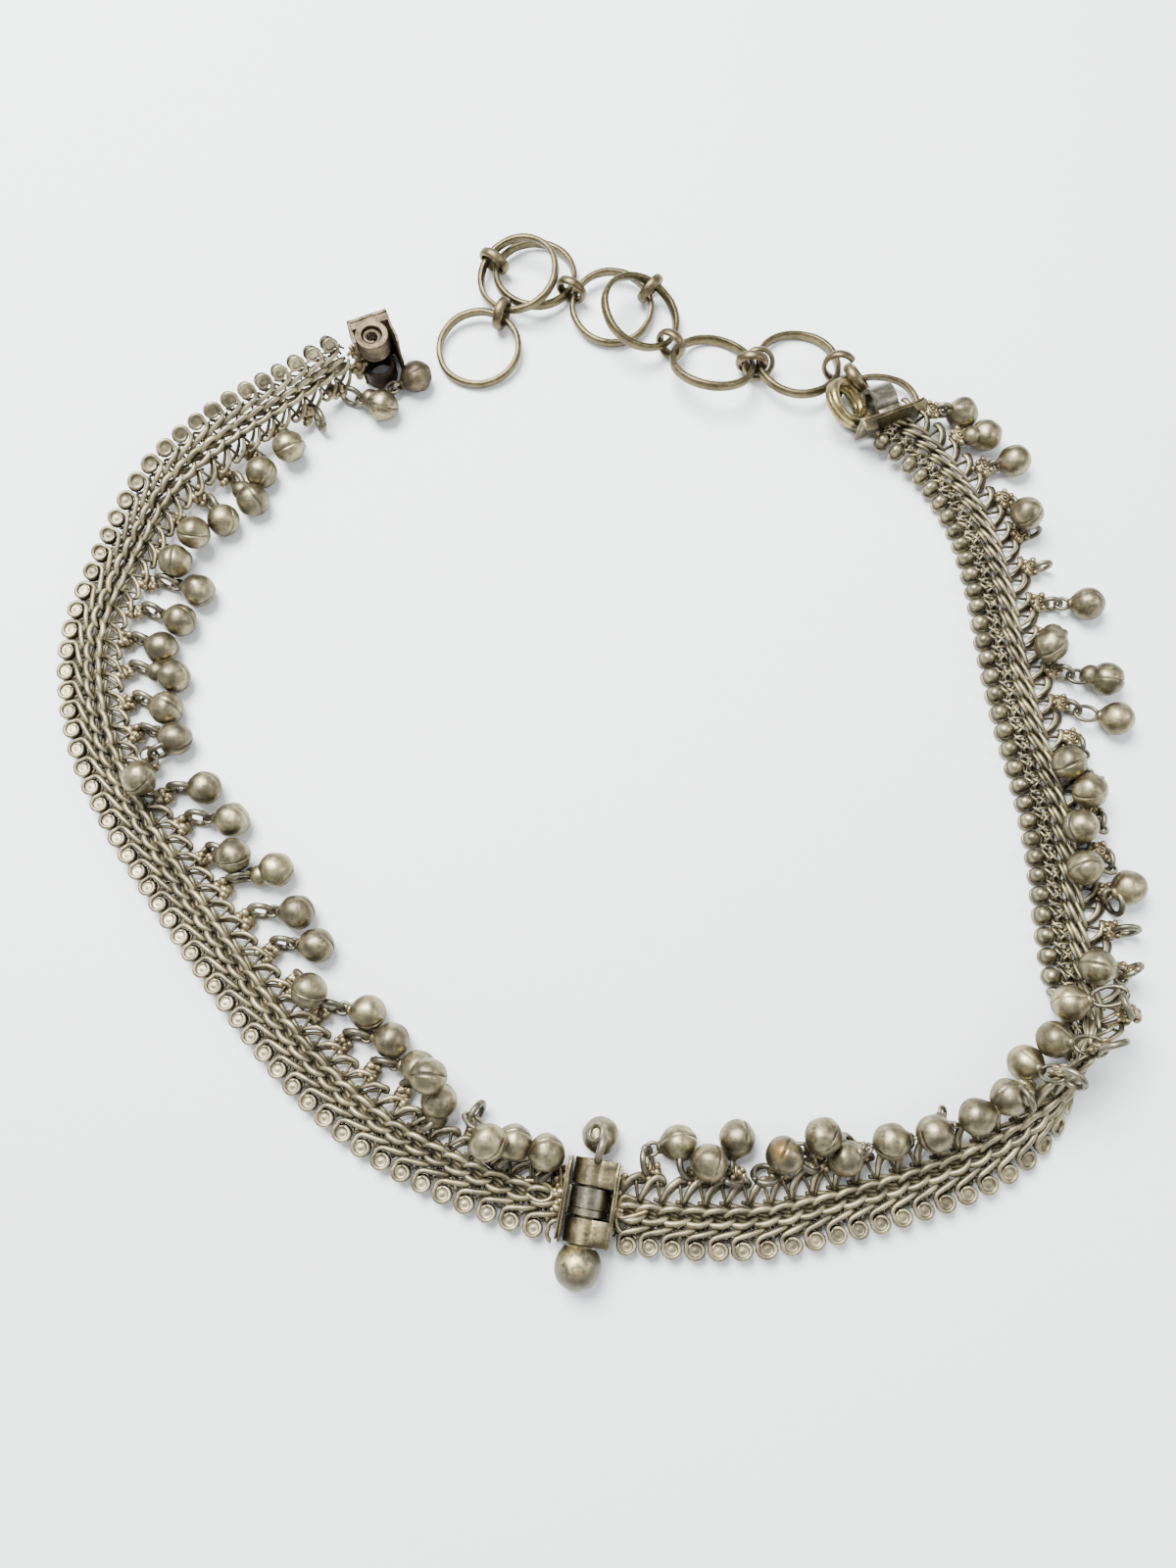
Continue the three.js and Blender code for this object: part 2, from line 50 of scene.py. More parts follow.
camera_data = bpy.data.cameras.new("camera")
camera_data.sensor_fit = "VERTICAL"
camera_data.sensor_height = 36
camera_data.lens = 29.18
camera = bpy.data.objects.new("camera", camera_data)
camera.location = (-0.0006, -0.0934, 0.2636)
camera.rotation_euler = (radians(16), 0, 0)
bpy.context.collection.objects.link(camera)
bpy.context.scene.camera = camera

# ---- surface and light
# A plain matt sheet under one wide soft light and a smaller one beside it. Its finish is the first that
# is written as sums of sockets, so the two classes for that are here.


class Socket:
    """An output socket that can be added, subtracted and multiplied."""

    def __init__(self, finish, out):
        self.finish = finish
        self.out = out

    def maths(self, operation, first, second):
        return self.finish.node("ShaderNodeMath", 0, {"operation": operation}, {0: first, 1: second})

    def __add__(self, other):
        return self.maths("ADD", self, other)

    def __radd__(self, other):
        return self.maths("ADD", other, self)

    def __sub__(self, other):
        return self.maths("SUBTRACT", self, other)

    def __rsub__(self, other):
        return self.maths("SUBTRACT", other, self)

    def __mul__(self, other):
        return self.maths("MULTIPLY", self, other)

    def __rmul__(self, other):
        return self.maths("MULTIPLY", other, self)

    def stretched(self, low, high):
        """0 at `low` and 1 at `high`, held there beyond them."""
        sockets = {"Value": self, "From Min": low, "From Max": high}
        return self.finish.node("ShaderNodeMapRange", "Result", sockets=sockets)


class Finish:
    """A material whose pattern is worked out from the place on the piece."""

    def __init__(self, name, metallic):
        self.material = bpy.data.materials.new(name)
        self.material.use_nodes = True
        self.tree = self.material.node_tree
        self.shader = self.tree.nodes["Principled BSDF"]
        self.shader.inputs["Metallic"].default_value = metallic
        self.place = self.node("ShaderNodeTexCoord", "Object")

    def node(self, kind, output, settings=None, sockets=None):
        node = self.tree.nodes.new(kind)
        for key, value in (settings or {}).items():
            setattr(node, key, value)
        for key, value in (sockets or {}).items():
            if isinstance(value, Socket):
                self.tree.links.new(value.out, node.inputs[key])
            else:
                node.inputs[key].default_value = value
        return Socket(self, node.outputs[output])

    def clouds(self, size, detail=3.0, stretch=(1, 1, 1)):
        """Cloudy noise with lumps about `size` mm across, from 0 to 1."""
        place = self.node("ShaderNodeMapping", 0, sockets={"Vector": self.place, "Scale": stretch})
        sockets = {"Vector": place, "Scale": 1000 / size, "Detail": detail}
        return self.node("ShaderNodeTexNoise", 0, sockets=sockets)

    def near(self, centre, reach):
        """1 at a place on the belt (mm), down to 0 at `reach` from it."""
        sockets = {0: self.place, 1: tuple(value / 1000 for value in centre)}
        away = self.node("ShaderNodeVectorMath", "Value", {"operation": "DISTANCE"}, sockets)
        return away.stretched(reach / 1000, 0)

    def attribute(self, name):
        return self.node("ShaderNodeAttribute", "Fac", {"attribute_name": name})

    def mix(self, factor, first, second):
        sockets = {0: factor}
        for key, value in ((6, first), (7, second)):
            sockets[key] = value if isinstance(value, Socket) else (*value, 1)
        return self.node("ShaderNodeMix", 2, {"data_type": "RGBA"}, sockets)

    def feed(self, name, value):
        if isinstance(value, Socket):
            self.tree.links.new(value.out, self.shader.inputs[name])
        else:
            self.shader.inputs[name].default_value = value


sheet_mesh = bpy.data.meshes.new("surface")
sheet_draft = bmesh.new()
bmesh.ops.create_grid(sheet_draft, x_segments=1, y_segments=1, size=1.5)
sheet_draft.to_mesh(sheet_mesh)
sheet_draft.free()
surface = bpy.data.objects.new("surface", sheet_mesh)
bpy.context.collection.objects.link(surface)
matt = Finish("matt_surface", 0)
matt.feed("Base Color", matt.mix(matt.clouds(60), (0.94, 0.962, 0.973), (0.955, 0.973, 0.982)))
matt.feed("Roughness", 0.7)
surface.data.materials.append(matt.material)

world = bpy.data.worlds.new("studio")
world.use_nodes = True
sky = world.node_tree.nodes["Background"].inputs
sky["Color"].default_value = (0.93, 0.96, 1.0, 1)
sky["Strength"].default_value = 0.95
bpy.context.scene.world = world


def soft_light(name, place, width, power):
    data = bpy.data.lights.new(name, "AREA")
    data.shape = "DISK"
    data.size = width
    data.energy = power
    light = bpy.data.objects.new(name, data)
    light.location = place
    light.rotation_euler = Vector(place).to_track_quat("Z", "Y").to_euler()
    bpy.context.collection.objects.link(light)


soft_light("soft_box", (-0.22, 0.3, 0.7), 0.5, 23)
soft_light("side_box", (0.6, -0.05, 0.5), 0.25, 2)

# ---- the woven bands
# Each band is sixty links of round wire with flattened leaves. A link coils up at the outer edge, runs in
# as a thick tail, makes the plait's two rows of leaves and turns back on itself in an arch at the inner
# edge. On the front a polished dome sits on every coil, with twisted wire between the domes and the plait.

UP = Vector((0, 0, 1))
SHIFT = Vector((-0.6, 1.6, 0))   # added to every place that is written below
# a row is the plait's middle in plan, then its roll and its prop height where they aren't zero
LEFT_ROWS = [
    (-4.7, -104.1), (-15, -101.2), (-27, -96.5), (-41.3, -88.7), (-53.9, -78.2), (-65.3, -65.6),
    (-75.9, -52.2), (-86.1, -38.5), (-95.4, -25), (-103.3, -10), (-107.4, 6.7), (-106.4, 20.3),
    (-101.2, 34.2, -12), (-93.9, 48.3, -27), (-82.2, 59.5, -45), (-67.6, 69.6, -63), (-59.3, 75.8, -72),
    (-53.8, 79.9, -75),
]
RIGHT_ROWS = [
    (4.9, -105.8), (21.9, -107), (35.4, -106.6), (48.7, -103.8), (61.5, -100.5), (73.4, -96.4, 5),
    (84, -91, 25), (93, -84, 60), (99.5, -74, 105), (102, -66, 150), (102, -58.7, 175),
    (101.5, -48.8, 180), (101.2, -36.2, 180), (100, -23.2, 180), (97.8, -11, 180), (95.8, 1.5, 180),
    (94.4, 14.3, 180), (93.1, 28, 180), (89.9, 42.2, 180), (83.5, 54.5, 180, 1.1), (75.6, 63.2, 180, 2.9),
    (67, 70, 180, 3),
]
EDGE_ACROSS = -7.0
COIL_RADIUS = 1.9
# corners of the band's section; it rests on the lowest of them
REST_CORNERS = [
    (EDGE_ACROSS - COIL_RADIUS, 0.9), (EDGE_ACROSS - COIL_RADIUS, -1), (EDGE_ACROSS, -2.7),
    (8.7, -1.9), (8.7, 0.8), (0, 1.2),
]
REST_GAP = 0.1
LOWEST = 0.03
ROUTE_END = 0.2                  # the route's directions are taken no nearer its ends than this
BAND_LINKS = 60
LINK_PITCH = 4.3
COIL_STEPS = 12
ARCH_FOOT = 1.5                  # where an arch leaves the plait
ROUTE_STEPS = 600
TONE = "tone"                    # how golden or grey one part of a piece is, 0 to 1
PAINTED_SHADE = "painted_shade"                # 1 deep inside a piece, where painted shade falls


class Route:
    """The line a band is laid along, with a station and a pitch for each of its links."""

    def __init__(self, rows, side, lead, pitch, tail):
        rows = [(*row, 0, 0)[:4] for row in rows]
        self.side = side
        self.runs = []
        self.stations = []
        run = 0.0
        for i in range(ROUTE_STEPS + 1):
            row = min(i * (len(rows) - 1) // ROUTE_STEPS, len(rows) - 2)
            t = i * (len(rows) - 1) / ROUTE_STEPS - row
            x, y, degrees = (self.smooth(rows, row, t, k) for k in range(3))
            roll = radians(degrees)
            rest = max(-(a * sin(roll) + b * cos(roll)) for a, b in REST_CORNERS) + REST_GAP
            prop = rows[row][3] + (rows[row + 1][3] - rows[row][3]) * t
            point = Vector((x, y, rest + prop))
            if i:
                run += (point - self.stations[-1][0]).xy.length
            self.runs.append(run)
            self.stations.append((point, roll))
        closing = (pitch - (run - lead - tail) / BAND_LINKS) / BAND_LINKS
        self.length = run
        self.links = [lead + k * (pitch - closing * k) for k in range(BAND_LINKS)]
        self.pitches = [pitch - 2 * closing * k for k in range(BAND_LINKS)]

    @staticmethod
    def smooth(rows, row, t, k):
        """A curve through the rows, straight on beyond the first and the last."""
        b, c = rows[row][k], rows[row + 1][k]
        a = rows[row - 1][k] if row > 0 else 2 * b - c
        d = rows[row + 2][k] if row < len(rows) - 2 else 2 * c - b
        start, end = (c - a) / 2, (d - b) / 2
        bend = 3 * (c - b) - 2 * start - end
        return b + start * t + bend * t * t + (2 * (b - c) + start + end) * t ** 3

    def at(self, distance):
        """Middle of the plait there, and the ahead, across, back and outward directions."""
        i = min(max(bisect.bisect_right(self.runs, distance), 1), ROUTE_STEPS)
        (a, roll_a), (b, roll_b) = self.stations[i - 1], self.stations[i]
        t = (distance - self.runs[i - 1]) / (self.runs[i] - self.runs[i - 1])
        roll = roll_a + (roll_b - roll_a) * t
        ahead = Vector((b.x - a.x, b.y - a.y, 0)).normalized()
        inward = Vector((-ahead.y, ahead.x, 0)) * self.side
        across = inward * cos(roll) + Vector((0, 0, sin(roll)))
        back = ahead.cross(across) * self.side
        outward = -inward if cos(roll) < -1e-6 else inward
        return a.lerp(b, t) + SHIFT, ahead, across, back, outward

    def held(self, distance):
        return min(max(distance, ROUTE_END), self.length - ROUTE_END)

    def place(self, distance, across_by, back_by):
        middle, _, across, back, _ = self.at(self.held(distance))
        return middle + across * across_by + back * back_by


ROUTES = {
    "left": Route(LEFT_ROWS, -1, 1.2, LINK_PITCH, 1.9),
    "right": Route(RIGHT_ROWS, 1, 2.2, 4.45, 6.5),
}


def wire(strands, corners=6):
    """A mesh of round wires. Each strand is a list of points and the wire's radius at each."""
    curve = bpy.data.curves.new("strand", "CURVE")
    curve.dimensions = "3D"
    curve.bevel_depth = 1
    curve.bevel_resolution = (corners - 4) // 2
    curve.use_fill_caps = True
    for points, radii in strands:
        spline = curve.splines.new("POLY")
        spline.points.add(len(points) - 1)
        for knot, point, radius in zip(spline.points, points, radii):
            knot.co = (*point, 1)
            knot.radius = radius
    holder = bpy.data.objects.new("strand", curve)
    mesh = bpy.data.meshes.new_from_object(holder)
    bpy.data.objects.remove(holder)
    bpy.data.curves.remove(curve)
    return mesh


def rounded(knots, radii, steps):
    """A smooth strand through a few knots, with the radius carried along it."""
    ends = [2 * Vector(knots[0]) - Vector(knots[1]), 2 * Vector(knots[-1]) - Vector(knots[-2])]
    line = [ends[0], *map(Vector, knots), ends[1]]
    path, widths = [], []
    for k in range(steps + 1):
        at = k * (len(knots) - 1) / steps
        i = min(int(at), len(knots) - 2)
        t = at - i
        a, b, c, d = line[i:i + 4]
        path.append(0.5 * (2 * b + (c - a) * t + (2 * a - 5 * b + 4 * c - d) * t * t
                           + (3 * b - a - 3 * c + d) * t ** 3))
        widths.append(radii[i] + (radii[i + 1] - radii[i]) * t)
    return path, widths


def add_part(draft, part, mapping, tone=0.5, painted_shade=None, material=None):
    """Adds a mesh to a draft, each of its vertices moved by `mapping`."""
    floats = draft.verts.layers.float
    layers = [floats.get(name) or floats.new(name) for name in (TONE, PAINTED_SHADE)]
    verts, faces = len(draft.verts), len(draft.faces)
    draft.from_mesh(part)
    draft.verts.ensure_lookup_table()
    draft.faces.ensure_lookup_table()
    # each vertex gets its tone and its painted shade, which darkens it in the finish
    for vert in draft.verts[verts:]:
        vert[layers[0]] = tone
        vert[layers[1]] = painted_shade(vert.co) if painted_shade else 0.0
        vert.co = mapping(vert.co)
    if material is not None:
        for face in draft.faces[faces:]:
            face.material_index = material


def as_mesh(draft):
    mesh = bpy.data.meshes.new("part")
    draft.to_mesh(mesh)
    draft.free()
    return mesh


def finished(name, draft, finishes, nodes, body="root", sharp=None):
    """A draft in millimetres made a piece of the belt, smooth but for edges over `sharp` degrees."""
    bmesh.ops.remove_doubles(draft, verts=draft.verts, dist=0.0005)
    bmesh.ops.recalc_face_normals(draft, faces=draft.faces)
    for vert in draft.verts:
        vert.co.z = max(vert.co.z, LOWEST)
    for face in draft.faces:
        face.smooth = True
    if sharp is not None:
        for edge in draft.edges:
            edge.smooth = edge.calc_face_angle(0.0) < radians(sharp)
    bmesh.ops.scale(draft, vec=(0.001, 0.001, 0.001), verts=draft.verts)
    mesh = bpy.data.meshes.new(name)
    draft.to_mesh(mesh)
    draft.free()
    for finish in finishes:
        mesh.materials.append(finish.material)
    piece = bpy.data.objects.new(name, mesh)
    bpy.context.collection.objects.link(piece)
    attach(piece, body)
    if nodes:
        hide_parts(*nodes)


def aged_metal(name, golden, grey, dark, roughness, grain=0.5, relief=0.03, stains=0.5):
    """Metal gone dull: golden where it rubs, grey elsewhere, finely scratched, and darkened by painted shade
    in its hollows.
    """
    finish = Finish(name, 1)
    cloud = finish.clouds(3.2, 4.0).stretched(0.35, 0.65)
    speck = finish.clouds(grain, 5.0)
    scratch = finish.clouds(0.7, 3.0, (1, 0.15, 1)) * 0.5 + finish.clouds(0.7, 3.0, (0.15, 1, 1)) * 0.5
    shade = cloud * 0.5 + finish.attribute(TONE) * 0.5 + (speck - 0.5) * 2.1 + (scratch - 0.5) * 1.7
    body = finish.mix(shade.stretched(0.05, 1.0), grey, golden)
    stain = (speck + (1 - cloud) * 0.3).stretched(0.56, 0.86) * stains
    # painted shade: where the shade layer is high the dark colour is mixed in, over the stains
    painted_shade = finish.attribute(PAINTED_SHADE).stretched(0.05, 0.95)
    finish.colour = finish.mix(painted_shade, finish.mix(stain, body, dark), dark)
    finish.feed("Base Color", finish.colour)
    finish.feed("Roughness", painted_shade * 0.15 + speck * 0.3 + (roughness - 0.15))
    sockets = {"Height": speck * 0.7 + scratch * 0.8, "Strength": 0.8, "Distance": relief / 1000}
    finish.feed("Normal", finish.node("ShaderNodeBump", 0, sockets=sockets))
    return finish


# one link in its own frame: x along the band, y across it and z out of its back. A strand is its steps,
# how far its knots may stray, and each knot's place with the wire's radius there
LINK_STRANDS = [
    # a little post between the tails
    (1, 0.1, [(-1.5, -3, -0.5, 0.28), (-1.2, -3.9, 0.3, 0.26)]),
    # the back of the plait: the outer row, then the inner row
    (8, 0.08, [(2.4, -1.75, 0.1, 0.36), (1.2, -2.3, 0.65, 0.66), (-0.6, -2.35, 0.85, 0.72),
               (-2.2, -1.8, 0.7, 0.64), (-3.4, -1, 0.1, 0.34)]),
    (8, 0.08, [(3.2, -1, 0.1, 0.36), (2.2, 0, 0.65, 0.66), (0.5, 0.5, 0.85, 0.72),
               (-1.2, 0.45, 0.75, 0.64), (-2.7, 0, 0.2, 0.34)]),
    # its front: two leaves and a long strand beside them
    (5, 0.08, [(-2.6, -2.1, -0.3, 0.32), (-0.8, -1.8, -0.85, 0.5), (1.4, -1.1, -0.5, 0.32)]),
    (8, 0.06, [(-2.9, -1.3, -0.3, 0.32), (-1.4, -1.1, -1, 0.54), (0.2, -0.6, -1.15, 0.6),
               (1.7, 0, -0.9, 0.52), (2.7, 0.4, -0.3, 0.3)]),
    (9, 0.06, [(-3.6, 0.1, -0.3, 0.32), (-1.8, 0.4, -1.05, 0.52), (0, 0.85, -1.3, 0.58),
               (1.8, 1.3, -1.15, 0.52), (3.8, 1.7, -0.4, 0.32)]),
    # the arch: a thick stroke on the back that turns over and comes back along the front, then its leg
    (18, 0.2, [(2.6, 1.5, 0.2, 0.34), (2, 2.8, 0.55, 0.48), (0.9, 4, 0.7, 0.54), (-0.6, 4.8, 0.65, 0.54),
               (-1.9, 4.9, 0.4, 0.48), (-2.5, 4.3, -0.1, 0.42), (-1.8, 4.1, -0.85, 0.44),
               (-0.3, 3.7, -1, 0.46), (1.3, 2.5, -0.9, 0.42), (2.3, 0.9, -0.3, 0.3)]),
    (3, 0.2, [(-0.8, 4.5, 0.1, 0.36), (-1.2, 3, 0, 0.36), (-1.6, 1.2, 0.2, 0.3)]),
    # twisted wire on the front, with blobs of solder on it
    (4, 0.25, [(-1.6, -5.6, -0.4, 0.28), (-0.4, -4.6, -1.05, 0.38), (1.6, -3.9, -0.7, 0.26)]),
    (4, 0.25, [(1.2, -4.5, -0.5, 0.24), (0.2, -3.3, -1, 0.34), (-0.6, -2.2, -0.6, 0.24)]),
    (4, 0.25, [(-1.3, -4, -0.5, 0.26), (-0.2, -3.2, -1.1, 0.38), (1.2, -2.4, -0.7, 0.26)]),
    (4, 0.3, [(2.6, -5.3, -0.4, 0.24), (2, -4.2, -0.95, 0.36), (2.2, -2.6, -0.5, 0.26)]),
    (4, 0.3, [(1, -5.4, -0.4, 0.24), (2.2, -4.6, -0.9, 0.34), (3.3, -3.6, -0.5, 0.24)]),
    (2, 0.4, [(0.3, -4.6, -0.7, 0.4), (0, -4.4, -1.35, 0.5), (-0.2, -4.2, -0.9, 0.3)]),
    (2, 0.4, [(-0.6, -3.1, -0.7, 0.3), (-0.8, -3, -1.25, 0.42), (-0.9, -2.8, -0.9, 0.3)]),
]


def link_mesh():
    coil = []
    for k in range(COIL_STEPS + 1):
        angle = radians(-300 + 320 * k / COIL_STEPS)
        reach = 1.3 + 0.035 * k
        coil.append((reach * cos(angle), EDGE_ACROSS + reach * sin(angle), 0.36 + 0.01 * k))
    coil_widths = [0.3 + 0.04 * min(k, 4) for k in range(COIL_STEPS + 1)]
    tail = [(1.7, -5.6, 0.5), (1, -4.75, 0.65), (-0.4, -4.3, 0.75), (-2, -3.9, 0.7), (-3.4, -3.5, 0.5),
            (-4.2, -3.3, 0.1)]
    bent = rounded(tail, [0.46, 0.52, 0.6, 0.62, 0.54, 0.36], 10)
    strands = [(coil + bent[0], coil_widths + bent[1])]
    for steps, stray, knots in LINK_STRANDS:
        moved = [(x + uniform(-stray, stray), y + uniform(-stray, stray), z + uniform(-stray, stray) / 2)
                 for x, y, z, _ in knots]
        strands.append(rounded(moved, [knot[3] for knot in knots], steps))
    return wire(strands)


def spin_outline(draft, outline, axis, steps, closed=False, gap=0.0):
    """Spins pairs of radius and height round an axis. With a gap its two ends are filled."""
    verts = [draft.verts.new(Vector((radius, 0, 0)) + axis * height) for radius, height in outline]
    edges = [draft.edges.new((verts[i - 1], verts[i])) for i in range(0 if closed else 1, len(verts))]
    if gap:
        draft.faces.new(verts)
    spun = bmesh.ops.spin(draft, geom=verts + edges, cent=(0, 0, 0), axis=axis, angle=2 * pi - gap,
                          steps=steps, use_merge=not gap)
    if gap:
        last = [item for item in spun["geom_last"] if isinstance(item, bmesh.types.BMEdge)]
        bmesh.ops.contextual_create(draft, geom=last)
    if not closed:
        bmesh.ops.remove_doubles(draft, verts=draft.verts, dist=0.001)
    bmesh.ops.recalc_face_normals(draft, faces=draft.faces)


def dome_mesh():
    """A polished dome with a rim, facing the front, and behind it a dished disc with a dot."""
    outline = [(0, -2.68)]
    for k in range(1, 6):
        angle = radians(16 * k)
        outline.append((1.68 * sin(angle), -1.0 - 1.68 * cos(angle)))
    outline += [(1.84, -0.85), (1.86, -0.55), (1.6, -0.4), (1.45, 0.3), (1.3, 0.4), (1.05, 0.28),
                (0.7, 0.24), (0.35, 0.3), (0, 0.36)]
    draft = bmesh.new()
    spin_outline(draft, outline, UP, 12)
    bmesh.ops.translate(draft, vec=(0, EDGE_ACROSS, 0), verts=draft.verts)
    return as_mesh(draft)


def link_painted_shade(place):
    """Painted shade on the wires' sides that face the band's middle layer, and on the plait's ends."""
    if place.y < -5.6:
        return 0.0
    return max(0.0, min(0.8, 1.2 - abs(place.z + 0.05) * 1.4))


def dome_painted_shade(place):
    """Painted shade under a dome's rim and in the dish behind it."""
    if place.z > 0:
        return max(0.0, 0.3 - abs(Vector((place.x, place.y - EDGE_ACROSS)).length - 1.1) * 1.5)
    return max(0.0, min(0.8, (place.z + 1.7) * 1.3))


random.seed(7)
noise.seed_set(7)                # noise vectors are seeded by the clock otherwise
BAND_COLOURS = (0.45, 0.395, 0.24), (0.19, 0.17, 0.115), (0.035, 0.028, 0.018)
band_metal = aged_metal("aged_band_wire", *BAND_COLOURS, 0.5)
dome_metal = aged_metal("rubbed_domes", *BAND_COLOURS, 0.4)
LINK_SHAPES = [link_mesh() for _ in range(8)]
DOME = dome_mesh()
BAND_HABITS = {"left": (1.0, 1, -1.4, 1.7), "right": (1.35, -1, 1.0, 4.6)}

for side, route in ROUTES.items():
    links = bmesh.new()
    domes = bmesh.new()
    # the arches of the right band are longer, and its pattern runs the other way along it
    arch_reach, way, near_shift, far_shift = BAND_HABITS[side]
    for k, station in enumerate(route.links):
        start = station + near_shift * exp(-k / 6) + far_shift * exp((k - BAND_LINKS + 1) / 7)
        stretch = way * route.pitches[k] / LINK_PITCH

        def laid(place):
            across = place.y + max(place.y - ARCH_FOOT, 0) * (arch_reach - 1)
            return route.place(start + place.x * stretch, across, place.z)

        add_part(links, choice(LINK_SHAPES), laid, uniform(0.2, 0.9), link_painted_shade)
        if k or side == "right":
            add_part(domes, DOME, laid, uniform(0.1, 0.9), dome_painted_shade)
    finished(f"woven_links_{side}", links, [band_metal], [f"chain_{side}"])
    finished(f"domes_{side}", domes, [dome_metal], [])

# ---- rosettes
# On every second arch sits a rosette: six beads of solder round a ring and a dot on the front, and a
# lump of solder behind, which holds a short bent tab for the jump ring.

FIRST_BELL = 1
BELLS_PER_BAND = 30
TAB_ACROSS = 7.4
ROSETTE_MIDDLE = {"left": Vector((-1.2, 5.4, 0)), "right": Vector((0.3, 6.8, 0))}
TAB_FURTHER = {"left": Vector(), "right": Vector((0, 0.8, 0))}
ROSETTE_RING_AT = Vector((0, 0, -1.64))


def add_bead(draft, place, radius, flat=1.0, segments=(8, 5)):
    new = bmesh.ops.create_uvsphere(draft, u_segments=segments[0], v_segments=segments[1], radius=radius)
    bmesh.ops.scale(draft, vec=(1, 1, flat), verts=new["verts"])
    bmesh.ops.translate(draft, vec=place, verts=new["verts"])


def rosette_mesh():
    draft = bmesh.new()
    add_bead(draft, (0, 0, -0.85), 2.0, 0.35, (12, 6))
    for k in range(6):
        angle = radians(60 * k + 30 + uniform(-8, 8))
        reach = 1.6 + uniform(-0.08, 0.08)
        place = (reach * cos(angle), reach * sin(angle), -1.3)
        add_bead(draft, place, 0.7 + uniform(-0.07, 0.07))
    add_bead(draft, (0, 0, -1.75), 0.38)
    for _ in range(11):
        place = (uniform(-1.7, 1.7), uniform(-1.6, 1.7), uniform(-0.1, 0.6))
        add_bead(draft, place, uniform(0.55, 1.0), 0.75)
    return as_mesh(draft)


def ring_wire(radius, wire_radius, stretch=1.0, points=20, corners=8):
    """A ring of round wire in the XY plane, drawn out along X by `stretch`."""
    path = []
    for k in range(points + 1):
        angle = 2 * pi * k / points
        path.append(Vector((radius * stretch * cos(angle), radius * sin(angle), 0)))
    return wire([(path, [wire_radius] * len(path))], corners)


solder_metal = aged_metal("solder_beads", (0.43, 0.36, 0.215), (0.20, 0.168, 0.10),
                          (0.08, 0.055, 0.03), 0.42)
ROSETTES = [rosette_mesh() for _ in range(6)]
ROSETTE_RING = ring_wire(0.75, 0.23, 1.0, 10, 6)
TAB = wire([rounded([(0, 5.6, -0.8), (0, 7.2, -1.1), (0, 8.1, -0.4), (0, 7.2, 0.3), (0, 5.6, 0.2)],
                    [0.42, 0.46, 0.5, 0.46, 0.42], 9)], 8)

for side, route in ROUTES.items():
    rosettes = bmesh.new()
    for k in range(BELLS_PER_BAND):
        station = route.links[FIRST_BELL + 2 * k]

        def laid(place):
            return route.place(station + place.x, place.y, place.z)

        tone = uniform(0.2, 1.0)
        middle = ROSETTE_MIDDLE[side]
        # painted shade darkens the rosette between its front beads and the solder lump behind
        add_part(rosettes, choice(ROSETTES), lambda p: laid(p + middle), tone,
                 lambda p: max(0.0, 0.8 - abs(p.z + 0.5) * 1.6))
        add_part(rosettes, ROSETTE_RING, lambda p: laid(p + middle + ROSETTE_RING_AT), tone)
        add_part(rosettes, TAB, lambda p: laid(p + TAB_FURTHER[side]), 0.2)
    finished(f"rosettes_{side}", rosettes, [solder_metal], [])

# ---- bells and jump rings
# A bell is two raised halves of thin sheet soldered at the rim, with a slit left open on the far side from
# its hanger. A wire loop in its neck hangs in a jump ring, which stands in the rosette's tab. A row is one
# bell: how far its middle lies outside its tab and along the band, and its height where it is propped up.
# None is a lost bell, whose jump ring is still there.

BELL_RADIUS = 3.65
JUMP_RING_RADIUS = 2.4
JUMP_RING_WIRE = 0.68
BELL_REST = BELL_RADIUS + REST_GAP
NECK_END = 4.3
LOOP_WIRE = 0.42
LEFT_BELLS = [
    (-0.2, -0.1, 7.2), (-0.3, -1.5, 6.2), (-1.7, -5.1, 11.3), (1, -0.6, 5.5), (4.3, -4.4, 11.1),
    (4.8, -8.2, 4.4), (5.6, -7.9), (6.3, -8), (0.4, -5.6, 7.2), (6.8, -6.4), (7.6, -6.5), (9.2, -4.6),
    (3.8, -5.6, 5.7), (7.5, -6.4), (6.4, -4.4), (-3.8, -5.3, 8), (6.1, -5.5), (6.4, -4.9), (9.2, -4.2),
    (6.8, -2.4), (9.2, -0.8), (10.1, 0.9), (3.1, -3.6, 5.8), (4.1, -2.8, 6), (7.1, -1.4), (8.5, 0),
    (4.7, -1.8), (4.1, -1.3, 5), None, (8.8, 5.6),
]
RIGHT_BELLS = [
    (5.4, 5.3), (2, 2.8, 6.8), (6.5, 0.6), (2.4, 1.9, 6.9), (4, 1.9, 8.2), (-1, -3.1, 4.6),
    (-0.2, -2.4, 7.3), (-1.3, -2.2, 8), (-1.5, -1.4, 9), (-0.5, -2, 9.5), (4.2, -0.6, 6.2),
    (-6.4, -1, 9.1), (-11, 0.1, 9.5), (-7.3, 0.5, 9), None, (3.6, 0.9), (-6.2, -3.8, 7),
    (-5.7, -3.4, 7), (-2.1, -4.6, 6.6), (-4.7, -6.2, 7), (9.7, -5.5), (10, -3.8), (-1.8, -3.8, 7),
    (9.5, -1.4), None, None, (0.1, -6.3, 6.7), (5.9, -2.1), (4.4, -3.4), (4.6, -4.9),
]
# where a right-hand jump ring's middle lies from its bell's middle, along X and Y
RIGHT_RINGS = [
    (-6.3, -3.1), (-4.2, -0.4), (-1.7, -7.1), (-3.4, -3.7), (-2.6, -4.6), (1.2, 2.3), (1.8, 0.4), (2.6, 1.8),
    (3.1, -4), (3.5, -2.2), (6.2, -4), (7.9, -1.8), (9, 0), (7.5, -0.4), None, (-2.6, -4), (6.6, 0.4),
    (5.7, 0), (4, 0.4), (4.8, 1.3), (-7, 1.3), (-6.6, 0.9),
]
